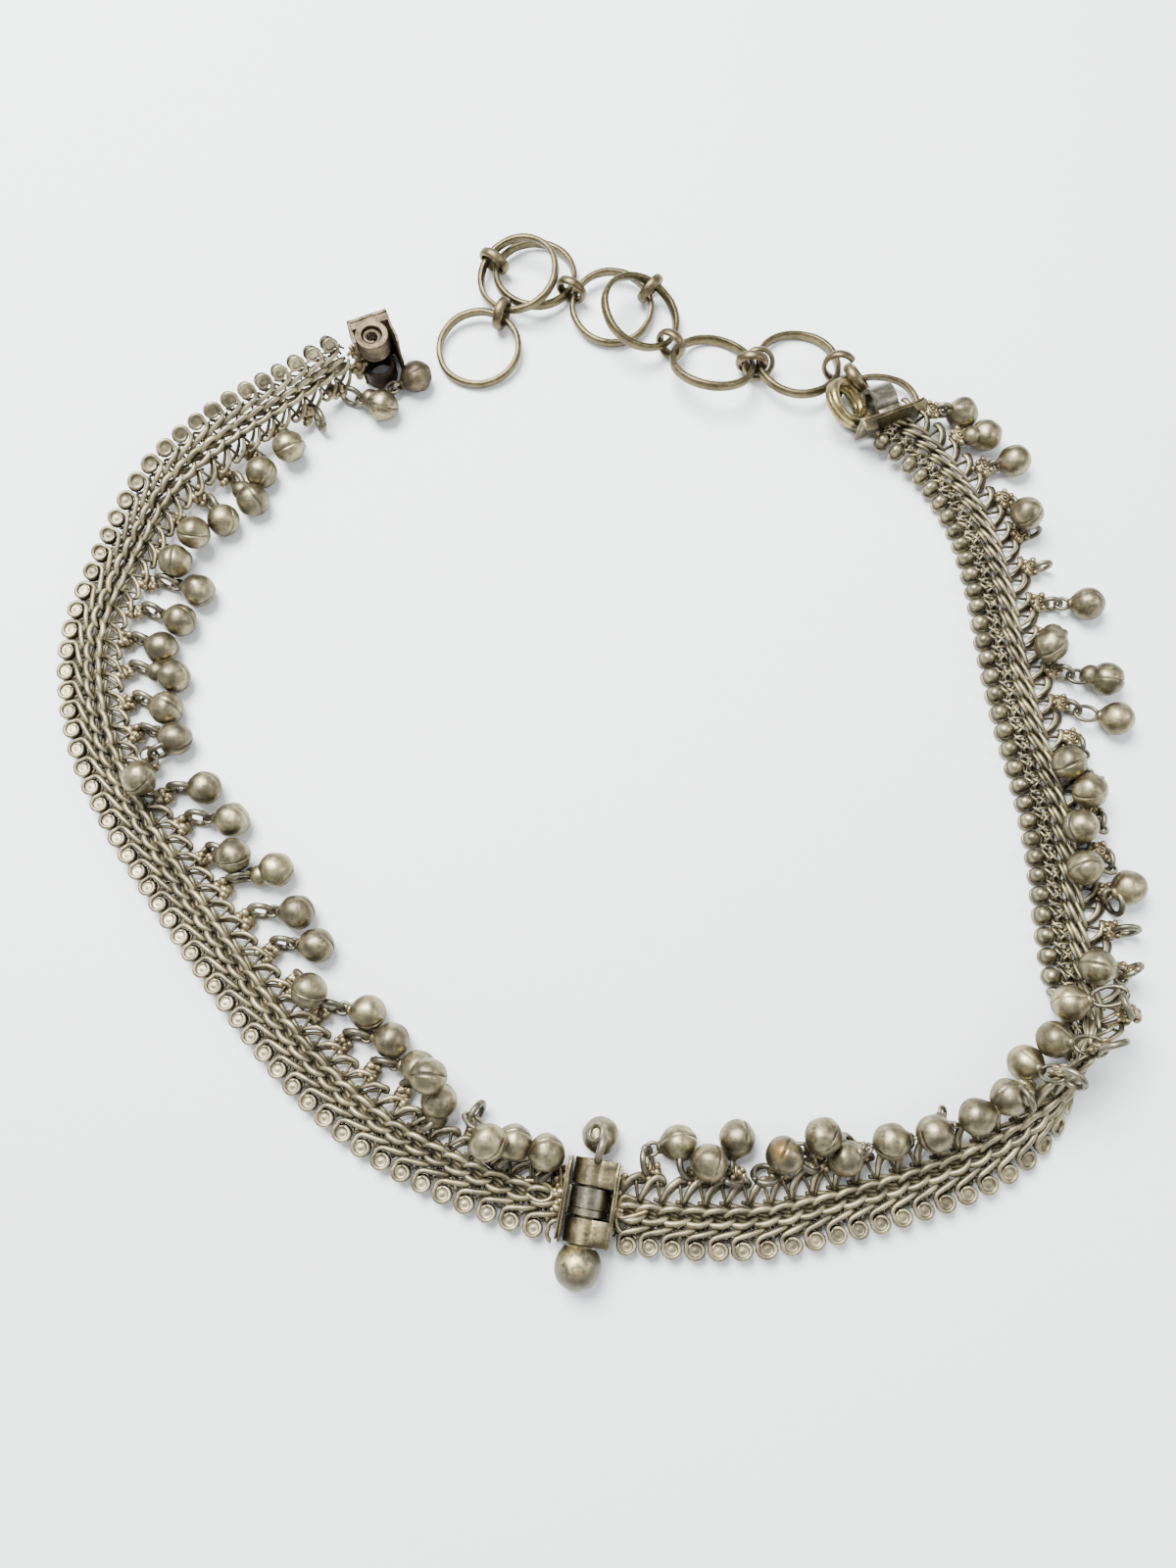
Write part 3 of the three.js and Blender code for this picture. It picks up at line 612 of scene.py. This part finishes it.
# a band's bells, the places of its first jump rings, and the bell from which the rings are smaller
FRINGES = {"left": (LEFT_BELLS, [], 30), "right": (RIGHT_BELLS, RIGHT_RINGS, 16)}
SMALLER = 0.8
RUSTY_BELL = 3
OPEN_TO = Vector((0, -0.35, 0.94))
FRINGE_RUNS = 5


def bell_mesh(gape, slit, dent, seed, lobe=0.0):
    """A bell whose hanger is towards -X and whose halves meet in the XY plane."""
    draft = bmesh.new()
    bmesh.ops.create_uvsphere(draft, u_segments=28, v_segments=16, radius=BELL_RADIUS)
    rim = [edge for edge in draft.edges if all(abs(vert.co.z) < 1e-4 for vert in edge.verts)]
    seam = bmesh.ops.bevel(draft, geom=rim, offset=slit, offset_type="OFFSET", segments=2, profile=0.5,
                           affect="EDGES", material=-1)["faces"]
    for face in seam:
        mouth = face.calc_center_median().x > 1.2
        face.material_index = 1 if mouth else 0
        for vert in face.verts:
            if abs(vert.co.z) < slit * 0.3:
                vert.co = vert.co.normalized() * (BELL_RADIUS - (0.5 if mouth else 0.03))
    for vert in draft.verts:
        x = vert.co.x
        if slit * 0.3 < abs(vert.co.z) < 1.2 and x > 0.2:
            vert.co.z += copysign(gape * x / BELL_RADIUS, vert.co.z)
        dented = noise.noise(vert.co * 0.42 + Vector((seed * 5.3, 0, 0))) * dent
        vert.co *= 1 + dented / BELL_RADIUS
        # drawn out a little into the neck, and pinched at the far end of the slit
        neck = min(max((-x / BELL_RADIUS - 0.75) / 0.25, 0), 1)
        vert.co.x -= 0.35 * neck * neck * (3 - 2 * neck)
        if x > 3.3:
            vert.co.x += (x - 3.3) * 0.3
    neck = bmesh.ops.create_cone(draft, cap_ends=True, segments=12, radius1=1.5, radius2=1.1, depth=1.2)
    turn = Matrix.Translation((-NECK_END + 0.5, 0, 0)) @ Matrix.Rotation(radians(-90), 4, "Y")
    bmesh.ops.transform(draft, matrix=turn, verts=neck["verts"])
    if lobe:
        add_bead(draft, (0.8 - NECK_END, 0.3, 0.5), lobe, 1.0, (14, 8))
    return as_mesh(draft)


def turned(origin, x_axis, z_axis):
    """The move that takes a part's own X and Z towards two directions."""
    x = x_axis.normalized()
    z = (z_axis - x * z_axis.dot(x)).normalized()
    spin = Matrix((x, z.cross(x), z)).transposed()
    return lambda place: origin + spin @ place


bell_metal = aged_metal("aged_bells", (0.40, 0.345, 0.20), (0.145, 0.13, 0.085),
                        (0.075, 0.06, 0.038), 0.42, 0.9, 0.07, 0.7)
jump_metal = aged_metal("jump_rings", (0.29, 0.26, 0.18), (0.12, 0.113, 0.085),
                        (0.04, 0.034, 0.022), 0.42)
route = ROUTES["right"]
tab_station = route.links[FIRST_BELL + 2 * RUSTY_BELL]
_, ahead, _, _, outward = route.at(tab_station)
out, along, _ = RIGHT_BELLS[RUSTY_BELL]
rusty = route.place(tab_station, TAB_ACROSS, 0) + outward * out + ahead * along
rusty += Vector((-1.6, 1.2, 8.5))
rust = bell_metal.near(rusty, 3.0).stretched(0, 0.5) * bell_metal.clouds(0.9).stretched(0.35, 0.55)
bell_metal.feed("Base Color", bell_metal.mix(rust, bell_metal.colour, (0.26, 0.14, 0.045)))
# the bell's slit is coloured near-black: painted shade of the open slit
slit_dark = Finish("bell_slit", 0)
painted_slit_shade = slit_dark.mix(slit_dark.clouds(0.8), (0.03, 0.024, 0.016), (0.08, 0.065, 0.045))
slit_dark.feed("Base Color", painted_slit_shade)
slit_dark.feed("Roughness", 0.8)
BELL_METALS = [bell_metal, slit_dark, jump_metal]

BELLS = [bell_mesh(0, 0.03, 0.15, 1), bell_mesh(0.06, 0.05, 0.15, 2), bell_mesh(0.2, 0.07, 0.2, 3),
         bell_mesh(0, 0.03, 0.25, 4), bell_mesh(0.02, 0.04, 0.3, 5), bell_mesh(0.03, 0.05, 0.25, 6, 2.4)]
JUMP_RING = ring_wire(JUMP_RING_RADIUS, JUMP_RING_WIRE, 1.04)
SMALL_RING = ring_wire(JUMP_RING_RADIUS * SMALLER, JUMP_RING_WIRE * 0.85, 1.04)


def shaded_below(place, bell):
    """Painted shade: a bell is darker round its sides and below than on top."""
    return max(0.0, min(0.8, 0.42 - 0.9 * (place.z - bell.z) / BELL_RADIUS))


def add_bell(draft, bell, hook, ring_normal, roll):
    """A bell at a place, hung by its loop from a hook: the middle of the jump ring's far side."""
    reach = hook - bell
    tone = uniform(0, 1)
    seat = turned(bell, -reach, roll)
    add_part(draft, choice(BELLS), seat, tone, lambda p: shaded_below(seat(p), bell))
    long_half = max((reach.length + JUMP_RING_WIRE + 0.4 - NECK_END + 0.3) / 2, 1.1)
    wide_half = min(long_half, 1.9)
    loop = ring_wire(wide_half, LOOP_WIRE, long_half / wide_half, 16)
    middle = bell + reach.normalized() * (NECK_END - 0.3 + long_half)
    add_part(draft, loop, turned(middle, reach, reach.cross(ring_normal)), tone, material=2)


for side, (rows, rings_beside, small_from) in FRINGES.items():
    route = ROUTES[side]
    per_run = BELLS_PER_BAND // FRINGE_RUNS
    jump_rings = bmesh.new()
    for run in range(FRINGE_RUNS):
        bells = bmesh.new()
        for k in range(run * per_run, (run + 1) * per_run):
            row = rows[k]
            station = route.links[FIRST_BELL + 2 * k]
            _, ahead, _, _, outward = route.at(station)
            tab = route.place(station, TAB_ACROSS, -0.4)
            out, along, height = (*(row or (3, 0)), BELL_REST)[:3]
            bell = tab + outward * out + ahead * along
            bell.z = height
            lean = Vector((bell.x - tab.x, bell.y - tab.y, 0))
            aside = rings_beside[k] if k < len(rings_beside) else None
            ring, radius = JUMP_RING, JUMP_RING_RADIUS
            if k >= small_from:
                ring, radius = SMALL_RING, JUMP_RING_RADIUS * SMALLER
            if aside:
                toward = lean + Vector((*aside, 0))
                toward *= min(1, 0.9 * radius / toward.length)
                aim = (toward + UP * sqrt(radius ** 2 - toward.length_squared)).normalized()
            elif height > BELL_REST and lean.length < 3.2:
                # a bell that lies on its own tab hangs by a ring turned back over the band
                aim = (UP * 0.4 - outward).normalized()
                tab -= outward
            else:
                if lean.dot(outward) < 0:
                    lean = outward * 3
                rise = 0 if tab.z > 9 else 4 / (1 + lean.length / 3)
                aim = (lean + UP * rise).normalized()
            middle = tab + aim * radius
            middle.z = max(middle.z, radius * 0.85 + JUMP_RING_WIRE + REST_GAP)
            # the ring is turned a little open to the front and above
            side_on = aim.cross(OPEN_TO).normalized()
            turn_open = radians(uniform(18, 42))
            normal = side_on * cos(turn_open) + side_on.cross(aim) * sin(turn_open)
            add_part(jump_rings, ring, turned(middle, aim, normal), uniform(0, 0.9))
            if row:
                reach = bell - middle
                hook = middle + (reach - normal * reach.dot(normal)).normalized() * radius
                side_on = (hook - bell).cross(UP).normalized()
                roll = UP * uniform(-1, 1) + side_on * uniform(-1, 1)
                add_bell(bells, bell, hook, normal, roll)
        finished(f"bells_{side}_run_{run + 1}", bells, BELL_METALS, [f"bells_{side}_{run + 1}"])
    finished(f"jump_rings_{side}", jump_rings, [jump_metal], [])

# ---- the front clasp's leaves
# A leaf is a plate of two thin sheets soldered back to back, standing on edge across the band's end, with
# barrel knuckles rolled from strip. The left leaf's one knuckle sits between the right leaf's two.

KNUCKLE_HEIGHT = 4.35
CLASP_MIDDLE = Vector((0.1, -104.9, KNUCKLE_HEIGHT)) + SHIFT
CLASP_TURN = 170
PLATE_LENGTH = 16
PLATE_WIDTH = 8
PLATE_OFFSET = 4.4
KNUCKLE_AXIS = Vector((0, 1, 0))
KNUCKLE_RADIUS = 3.8
KNUCKLE_BORE = 2.6
HALF_KNUCKLE = 2.7
KNUCKLE_GAP = 0.3
CLASP_SEAT = Matrix.Translation(CLASP_MIDDLE) @ Matrix.Rotation(radians(CLASP_TURN), 4, "Z")


def add_block(draft, low, high, edge=0.1, cuts=0, waver=0.0, seed=0, material=0):
    """A box with eased edges, its faces divided and made to waver as hand-cut sheet does."""
    part = bmesh.new()
    bmesh.ops.create_cube(part, size=1)
    size = [b - a for a, b in zip(low, high)]
    middle = [(a + b) / 2 for a, b in zip(low, high)]
    bmesh.ops.scale(part, vec=size, verts=part.verts)
    bmesh.ops.translate(part, vec=middle, verts=part.verts)
    bmesh.ops.bevel(part, geom=part.edges[:], offset=edge, segments=2, profile=0.5,
                    affect="EDGES", material=-1)
    if cuts:
        long_edges = [item for item in part.edges if item.calc_length() > 2 * edge + 0.5]
        bmesh.ops.subdivide_edges(part, edges=long_edges, cuts=cuts, use_grid_fill=True)
    for vert in part.verts:
        vert.co += noise.noise_vector(vert.co * 0.33 + Vector((seed * 3.1, 0, 0))) * waver
    for face in part.faces:
        face.material_index = material
    draft.from_mesh(as_mesh(part))


def add_knuckle(draft, start, end, side, grooves=(), material=0, bore=KNUCKLE_BORE, saddle=2.5):
    """A barrel of strip round +Y, on a saddle that reaches the plate towards `side`."""
    part = bmesh.new()
    outline = [(bore, start + 0.1), (bore + 0.1, start), (KNUCKLE_RADIUS - 0.15, start),
               (KNUCKLE_RADIUS, start + 0.15)]
    for groove in grooves:
        outline += [(KNUCKLE_RADIUS, groove - 0.12), (KNUCKLE_RADIUS - 0.16, groove),
                    (KNUCKLE_RADIUS, groove + 0.12)]
    outline += [(KNUCKLE_RADIUS, end - 0.15), (KNUCKLE_RADIUS - 0.15, end), (bore + 0.1, end),
                (bore, end - 0.1)]
    spin_outline(part, outline, KNUCKLE_AXIS, 36, closed=True)
    for vert in part.verts:
        vert.co += noise.noise_vector(vert.co * 0.35) * 0.12
    for face in part.faces:
        face.material_index = material
    draft.from_mesh(as_mesh(part))
    near, far = sorted((side * (bore + 0.35), side * (PLATE_OFFSET + 0.2)))
    add_block(draft, (near, start + 0.1, -2.4), (far, end - 0.1, saddle), 0.15, 2, 0.15, 4, material)


def add_plate(draft, side, seed):
    """Two sheets back to back, the outer one a little out of line with the inner."""
    for gap, drop, thick in ((0.0, 0.0, 0.48), (0.56, 0.25, 0.36)):
        near, far = sorted((side * (PLATE_OFFSET + gap), side * (PLATE_OFFSET + gap + thick)))
        high = (far, PLATE_LENGTH / 2 - drop, PLATE_WIDTH - KNUCKLE_HEIGHT - drop)
        add_block(draft, (near, -PLATE_LENGTH / 2 + drop, -KNUCKLE_HEIGHT + 0.05), high, 0.08, 5, 0.28,
                  seed + gap)


def seated(draft, seat, shade_height=0.0):
    """A draft moved to its seat, with the layers that every finish reads; painted shade below the given
    height.
    """
    bmesh.ops.transform(draft, matrix=seat, verts=draft.verts)
    floats = draft.verts.layers.float
    tone, painted_shade = floats.new(TONE), floats.new(PAINTED_SHADE)
    for vert in draft.verts:
        vert[tone] = 0.5 + noise.noise(vert.co * 0.25) * 0.5
        vert[painted_shade] = max(0.0, min(0.7, 0.5 * (shade_height - vert.co.z)))
    return draft


plate_metal = aged_metal("clasp_plates", (0.30, 0.25, 0.135), (0.105, 0.09, 0.058), (0.04, 0.032, 0.02),
                         0.37, 0.7, 0.06, 0.7)
shiny_metal = aged_metal("middle_knuckle", (0.26, 0.24, 0.17), (0.12, 0.115, 0.09),
                         (0.05, 0.045, 0.035), 0.34, 0.7, 0.05, 0.4)

left_leaf = bmesh.new()
add_plate(left_leaf, 1, 1)
add_knuckle(left_leaf, -HALF_KNUCKLE, HALF_KNUCKLE, 1, (1.25,), 1, saddle=0.8)
finished("clasp_leaf_left_sheet", seated(left_leaf, CLASP_SEAT), [plate_metal, shiny_metal],
         ["clasp_leaf_left"], sharp=40)

right_leaf = bmesh.new()
add_plate(right_leaf, -1, 2)
inner_end = HALF_KNUCKLE + KNUCKLE_GAP
for near, far in ((-inner_end - 5.1, -inner_end), (inner_end, inner_end + 4.9)):
    add_knuckle(right_leaf, near, far, -1)
    # the strip's end, laid over the plate's edge
    add_block(right_leaf, (-PLATE_OFFSET - 0.3, near, 2.2), (-1.0, far, 3.6), 0.2, 3, 0.12, 6)
finished("clasp_leaf_right_sheet", seated(right_leaf, CLASP_SEAT), [plate_metal], ["clasp_leaf_right"],
         sharp=40)

# ---- the clasp's pin
# A round pin through the knuckles, with a ball for a handle, rubbed golden where it is held. It is drawn
# out towards the ball.

PIN_RADIUS = 2.2
PIN_REACH = 8
BALL_RADIUS = 4.55
BALL_MOUTH = 2.75
BALL_OUT = 12.0
BALL_STEPS = 14

pin_metal = aged_metal("pin_ball", (0.27, 0.24, 0.155), (0.15, 0.14, 0.105), (0.05, 0.04, 0.028),
                       0.46, 0.9, 0.06, 0.6)
ball_middle = CLASP_SEAT @ Vector((0, BALL_OUT, 0))
rubbed = pin_metal.near(ball_middle + Vector((-0.5, 1.5, 4.0)), 4.4).stretched(0.1, 0.6)
patchy = pin_metal.clouds(1.1, 5.0).stretched(0.4, 0.56)
worn_gold = pin_metal.mix(rubbed * patchy, (0.15, 0.137, 0.098), (0.48, 0.385, 0.18))
scars = pin_metal.clouds(1.3, 5.0, (0.35, 1, 1)).stretched(0.55, 0.7)
# painted shade darkens the pin and ball below 4.6 mm, and dark scars lie over the worn gold
shaded = pin_metal.attribute(PAINTED_SHADE)
pin_metal.feed("Base Color", pin_metal.mix(scars * 0.6 + shaded, worn_gold, (0.10, 0.085, 0.06)))

pin = bmesh.new()
outline = [(0, -PIN_REACH), (PIN_RADIUS - 0.2, -PIN_REACH), (PIN_RADIUS, -PIN_REACH + 0.2),
           (PIN_RADIUS, PIN_REACH - 0.1), (3.0, PIN_REACH + 0.05)]
start = asin(BALL_MOUTH / BALL_RADIUS)
outline.append((2.85, BALL_OUT - BALL_RADIUS * cos(start) + 0.1))
for k in range(1, BALL_STEPS):
    angle = start + (pi - start) * k / BALL_STEPS
    outline.append((BALL_RADIUS * sin(angle), BALL_OUT - BALL_RADIUS * cos(angle)))
outline.append((0, BALL_OUT + BALL_RADIUS))
spin_outline(pin, outline, KNUCKLE_AXIS, 36)
for vert in pin.verts:
    if vert.co.y > PIN_REACH:
        vert.co += noise.noise_vector(vert.co * 0.3) * 0.18
finished("clasp_pin_ball", seated(pin, CLASP_SEAT, 4.6), [pin_metal], ["clasp_pin"],
         "clasp_pin", 40)

# ---- the clasp's bell
# One more bell hangs at the inner end of the clasp, by a heavy ring and a thinner one in its neck.

clasp_bell = bmesh.new()
bell = CLASP_SEAT @ Vector((-0.2, -12.6, BELL_REST - KNUCKLE_HEIGHT))
ring_middle = CLASP_SEAT @ Vector((-0.7, -10.4, 2.9))
along = CLASP_SEAT.to_3x3() @ Vector((0.12, 1, 0.1))
sideways = CLASP_SEAT.to_3x3() @ Vector((1, 0, 0))
add_part(clasp_bell, BELLS[4], turned(bell, Vector((0.1, 0.5, -1)), sideways), 0.1)
heavy_ring = turned(ring_middle, along, sideways)
add_part(clasp_bell, ring_wire(2.4, 0.75, 1.15), heavy_ring, 1.0, material=2)
neck_ring = turned(bell + Vector((-0.9, 0.4, 4.1)), along, sideways + UP)
add_part(clasp_bell, ring_wire(1.7, 0.45), neck_ring, 0.8, material=2)
finished("clasp_bell_hung", clasp_bell, BELL_METALS, ["clasp_bell"])

# ---- the left end clasp
# A leaf of bent sheet with two knuckles stands on end at the left band's free end. What sat between the
# knuckles is lost, a coil of wire is left in the upper one's bore, and a bell hangs at its lower corner.

LEFT_END = (Matrix.Translation(Vector((-48.9, 81.6, PLATE_LENGTH / 2)) + SHIFT)
            @ Matrix.Rotation(radians(90), 4, "X") @ Matrix.Rotation(radians(-69), 4, "Y"))

brown_metal = aged_metal("brown_plates", (0.185, 0.148, 0.092), (0.09, 0.071, 0.046),
                         (0.035, 0.026, 0.018), 0.55, 0.7, 0.06, 0.8)
left_end = bmesh.new()
# the plate, its upper flange, its lower flange and the solder in its corner
add_block(left_end, (-5.3, -8, -5.1), (-4.6, 8, 4.35), 0.1, 5, 0.25, 8)
add_block(left_end, (-5.3, -8, 3.8), (1.0, 8, 4.3), 0.12, 5, 0.25, 9)
add_block(left_end, (-5.3, -8, -5.3), (3.6, 7.6, -4.8), 0.12, 5, 0.25, 10)
add_block(left_end, (-4.9, 3.0, -4.9), (-2.7, 7.7, 4.1), 0.12, 4, 0.2, 14)
add_knuckle(left_end, -7.9, -3.0, -1, bore=2.75)
add_knuckle(left_end, 2.8, 7.9, -1, bore=2.35)
end_coil = [(1.7 * cos(k * 0.42), 7.1 - k * 0.05, 1.7 * sin(k * 0.42)) for k in range(34)]
left_end.from_mesh(wire([(end_coil, [0.5] * len(end_coil))], 8))
# the leaf gets painted shade below 8.5 mm
finished("end_clasp_left_sheet", seated(left_end, LEFT_END, 8.5), [brown_metal], ["end_clasp_left"],
         sharp=40)

end_bell = bmesh.new()
bell = Vector((-40.2, 78.8, BELL_REST)) + SHIFT
end_hook = bell + Vector((-4.7, -2.2, -1.3))
add_bell(end_bell, bell, end_hook, UP, Vector((0.3, 1, 0.4)))
end_ring = turned(end_hook + Vector((-0.9, 0.2, -0.2)), Vector((1, 1, 0)), UP)
add_part(end_bell, ring_wire(1.5, 0.5), end_ring, 0.2, material=2)
finished("end_bell_hung", end_bell, [brown_metal, slit_dark, jump_metal], ["end_bell"])

# ---- the right end clasp
# A leaf with one knuckle stands across the right band's end. Its plate is bent, and its two upper corners
# are folded over towards the band.

right_seat = (Matrix.Translation(Vector((69, 65.3, 3)) + SHIFT)
              @ Matrix.Rotation(radians(21.5 - 90), 4, "Z")
              @ Matrix.Translation((-PLATE_OFFSET - 0.45, 0, KNUCKLE_HEIGHT)))
right_end = bmesh.new()
add_plate(right_end, 1, 3)
add_knuckle(right_end, -HALF_KNUCKLE, HALF_KNUCKLE, 1, (), 1)
add_block(right_end, (4.6, -8.0, 3.1), (7.4, -4.6, 3.5), 0.1, 3, 0.5, 11)
add_block(right_end, (4.6, 5.0, 3.0), (6.9, 8.2, 3.4), 0.1, 3, 0.6, 12)
finished("end_clasp_right_sheet", seated(right_end, right_seat), [plate_metal, shiny_metal],
         ["end_clasp_right"], sharp=40)

# ---- solder at the bands' ends
# At each end of a band a few loops of wire and brown lumps of solder hold it to its clasp plate. A loop's
# knots and a lump's middle are given by their distance from the band's end and their place across, and a
# lump also by how far it spreads. 0 is a band's end at the front clasp and 1 its free end.

LOOPS = [
    ("left", 0, [(9.1, 0.7), (5.5, 1.6), (3, 1), (2.4, -0.8), (4.5, -2), (7.3, -1.3)]),
    ("left", 0, [(2.6, 5.8), (1.6, 4), (0.9, 1.8)]),
    ("right", 0, [(4.5, 1.5), (1.8, 2), (0.9, -0.3), (1.5, -2), (4.2, -1.4), (6.8, -0.3)]),
    ("right", 0, [(2.4, 6.2), (0.8, 5), (0.3, 2.4), (0.4, -0.7), (0.9, -3.6), (2, -4.8)]),
    ("left", 1, [(1.5, -2.4), (0, -2.8), (-1.6, -2)]),
    ("left", 1, [(1.8, 0.4), (0.2, 0.9), (-0.8, 0), (-1.8, 0.3)]),
    ("left", 1, [(1.4, 3.6), (-0.2, 3), (-1.6, 1.8)]),
    ("right", 1, [(5, 0.8), (3, 1.3), (1.4, 1.2)]),
    ("right", 1, [(5, -2), (3, -1.5), (1.4, -1)]),
    ("right", 1, [(5, 4.2), (3, 4.6), (1.6, 3.6)]),
    ("right", 1, [(5, -5), (3, -4.4), (1.6, -3.4)]),
]
LUMPS = [
    ("left", 0, 1.3, -1.2, 3.4), ("left", 0, 1.4, 3.6, 1.7), ("right", 0, 0.6, 1.0, 3.0),
    ("right", 0, 0.9, 5.2, 1.4), ("left", 1, -0.9, -0.6, 3.4), ("left", 1, 0.3, 3.6, 1.4),
    ("right", 1, 1.6, 0.4, 3.4),
]
solder_joints = bmesh.new()


def from_end(side, far_end, distance, across, height):
    route = ROUTES[side]
    station = route.length - distance if far_end else distance
    middle, ahead, across_way, back, _ = route.at(route.held(station))
    beyond = station - route.held(station)
    return middle + ahead * beyond + across_way * across + back * height


for side, far_end, knots in LOOPS:
    line = [from_end(side, far_end, *knot, 0.75 + uniform(-0.2, 0.3)) for knot in knots]
    strand = rounded(line, [0.42] + [0.56] * (len(line) - 2) + [0.5], 4 * len(line))
    add_part(solder_joints, wire([strand]), lambda p: p, 0.5)
for side, far_end, distance, across, spread in LUMPS:
    for _ in range(int(6 * spread)):
        away = distance + uniform(-0.9, 0.9)
        aside = across + uniform(-spread, spread)
        place = from_end(side, far_end, away, aside, uniform(-0.3, 1.0))
        lump = bmesh.new()
        add_bead(lump, place, uniform(0.6, 1.1), 0.8)
        add_part(solder_joints, as_mesh(lump), lambda p: p, uniform(0.2, 0.9))
finished("solder_joints", solder_joints, [solder_metal], [])

# ---- the large rings
# Eight rings of flat brass strip, bent round and soldered. A row is the ring's middle, how far it leans
# (degrees), the heading it leans towards, and how much it is squeezed.

RINGS = [
    (-25.9, 87.5, 2.3, 6, -116, 1), (-16.7, 105.7, 5.6, 17, -160, 1), (-12.7, 107.8, 2.7, 4.5, 62, 1),
    (5.7, 98.6, 2.6, 6, -73, 1), (12.4, 94.5, 6.4, 24, -2, 1), (29.1, 81.7, 5, 22.7, 77, 1),
    (49.5, 82.6, 3.1, 11, 76, 1), (67.6, 72.1, 2.2, 7.8, -91, 0.76),
]
RING_STRIP = (10.1, 1.3, 2.2, 0.25)          # outer radius, thickness, height and crown


def strip_ring(outer, thickness, height, crown, gap, seed):
    """A ring of strip round +Z with a crowned outside. With a gap its ends are cut off square."""
    part = bmesh.new()
    inner, half = outer - thickness, height / 2
    outline = [(inner, -half + 0.15), (inner + 0.15, -half), (outer - 0.2 - crown, -half),
               (outer - crown * 0.5, -half * 0.75), (outer, -half * 0.3)]
    outline += [(radius, -z) for radius, z in reversed(outline)]
    spin_outline(part, outline, UP, 48, True, gap)
    for vert in part.verts:
        shove = noise.noise_vector(vert.co * 0.16 + Vector((seed * 4.7, 0, 0))) * 0.16
        fine = noise.noise_vector(vert.co * 0.8 + Vector((seed, 0, 0))) * 0.05
        vert.co += shove + fine
    return part


ring_metal = aged_metal("olive_brass", (0.165, 0.138, 0.072), (0.085, 0.07, 0.038), (0.06, 0.05, 0.028),
                        0.42, 0.8, 0.03, 0.35)
for k, (x, y, z, lean, towards, squeeze) in enumerate(RINGS):
    heading = radians(towards)
    hinge = Vector((-sin(heading), cos(heading), 0))
    seat = (Matrix.Translation(Vector((x, y, z)) + SHIFT) @ Matrix.Rotation(radians(lean), 4, hinge)
            @ Matrix.Diagonal((1, squeeze, 1, 1)))
    ring = seated(strip_ring(*RING_STRIP, 0.0, k), seat)
    finished(f"large_ring_{k + 1}", ring, [ring_metal], [f"ring_{k + 1}"], sharp=50)

# ---- the small links
# Each is a thick strip with a rounded outside, bent round the two rings it joins. A row is its middle, the
# heading of its axis, how far the axis rises, its outer radius and the gap left where it is badly closed.

LINKS = [
    (-20.5, 95.8, 4, 157, 0, 3.9, 0), (-22.6, 110.4, 4.1, -123, -8, 3.9, 0), (-4, 102.4, 4, 63, 0, 3.9, 0),
    (14.8, 102.8, 4, 140, 17, 3.9, 0), (19.6, 87.2, 4.15, 51, -12, 3.9, 0),
    (38.5, 82.4, 4.08, 87, 5, 3.9, 0), (40, 82.3, 3.86, 97, -46, 3.9, 0),
    (58.8, 80.8, 4.7, 80, -20, 4.1, 0.9), (62.8, 78.1, 4.05, 29, 32, 4.2, 0),
]
LINK_STRIP = (1.0, 2.3, 0.35)                # thickness, height and crown


def facing(place, axis):
    """The seat that takes a part's own Z to an axis."""
    return Matrix.Translation(Vector(place) + SHIFT) @ UP.rotation_difference(axis).to_matrix().to_4x4()


link_metal = aged_metal("brown_brass", (0.20, 0.16, 0.088), (0.105, 0.083, 0.048), (0.05, 0.038, 0.022),
                        0.42, 0.8, 0.03, 0.35)
for k, (x, y, z, heading, lean, outer, gap) in enumerate(LINKS):
    turn, rise = radians(heading), radians(lean)
    axis = Vector((cos(turn) * cos(rise), sin(turn) * cos(rise), sin(rise)))
    link = seated(strip_ring(outer, *LINK_STRIP, gap, 20 + k), facing((x, y, z), axis))
    finished(f"small_link_{k + 1}", link, [link_metal], [f"link_{k + 1}"], sharp=50)

# ---- the heavy link
# A double coil of thick brass wire, the last member of the ring chain, lies beside the right end clasp's
# knuckle. Its two turns lie close against each other.

HEAVY_RADIUS = 5.05
HEAVY_WIRE = 1.15
HEAVY_TURNS = 2.0
HEAVY_RISE = 2.2
HEAVY_STEPS = 48

heavy_path = []
for k in range(HEAVY_STEPS + 1):
    angle = 2 * pi * HEAVY_TURNS * k / HEAVY_STEPS
    rise = -HEAVY_RISE / 2 + HEAVY_RISE * k / HEAVY_STEPS
    heavy_path.append(Vector((HEAVY_RADIUS * cos(angle), HEAVY_RADIUS * sin(angle), rise)))
heavy_seat = facing((59.8, 70.2, 5.95), Vector((0.62, 0.06, 0.78)).normalized())
heavy = bmesh.new()
heavy.from_mesh(wire([(heavy_path, [HEAVY_WIRE] * len(heavy_path))], 12))
bright_brass = aged_metal("bright_brass", (0.34, 0.28, 0.125), (0.18, 0.145, 0.07), (0.06, 0.045, 0.02),
                          0.34, 0.8, 0.02, 0.2)
finished("heavy_coil", seated(heavy, heavy_seat), [bright_brass], ["heavy_link"])
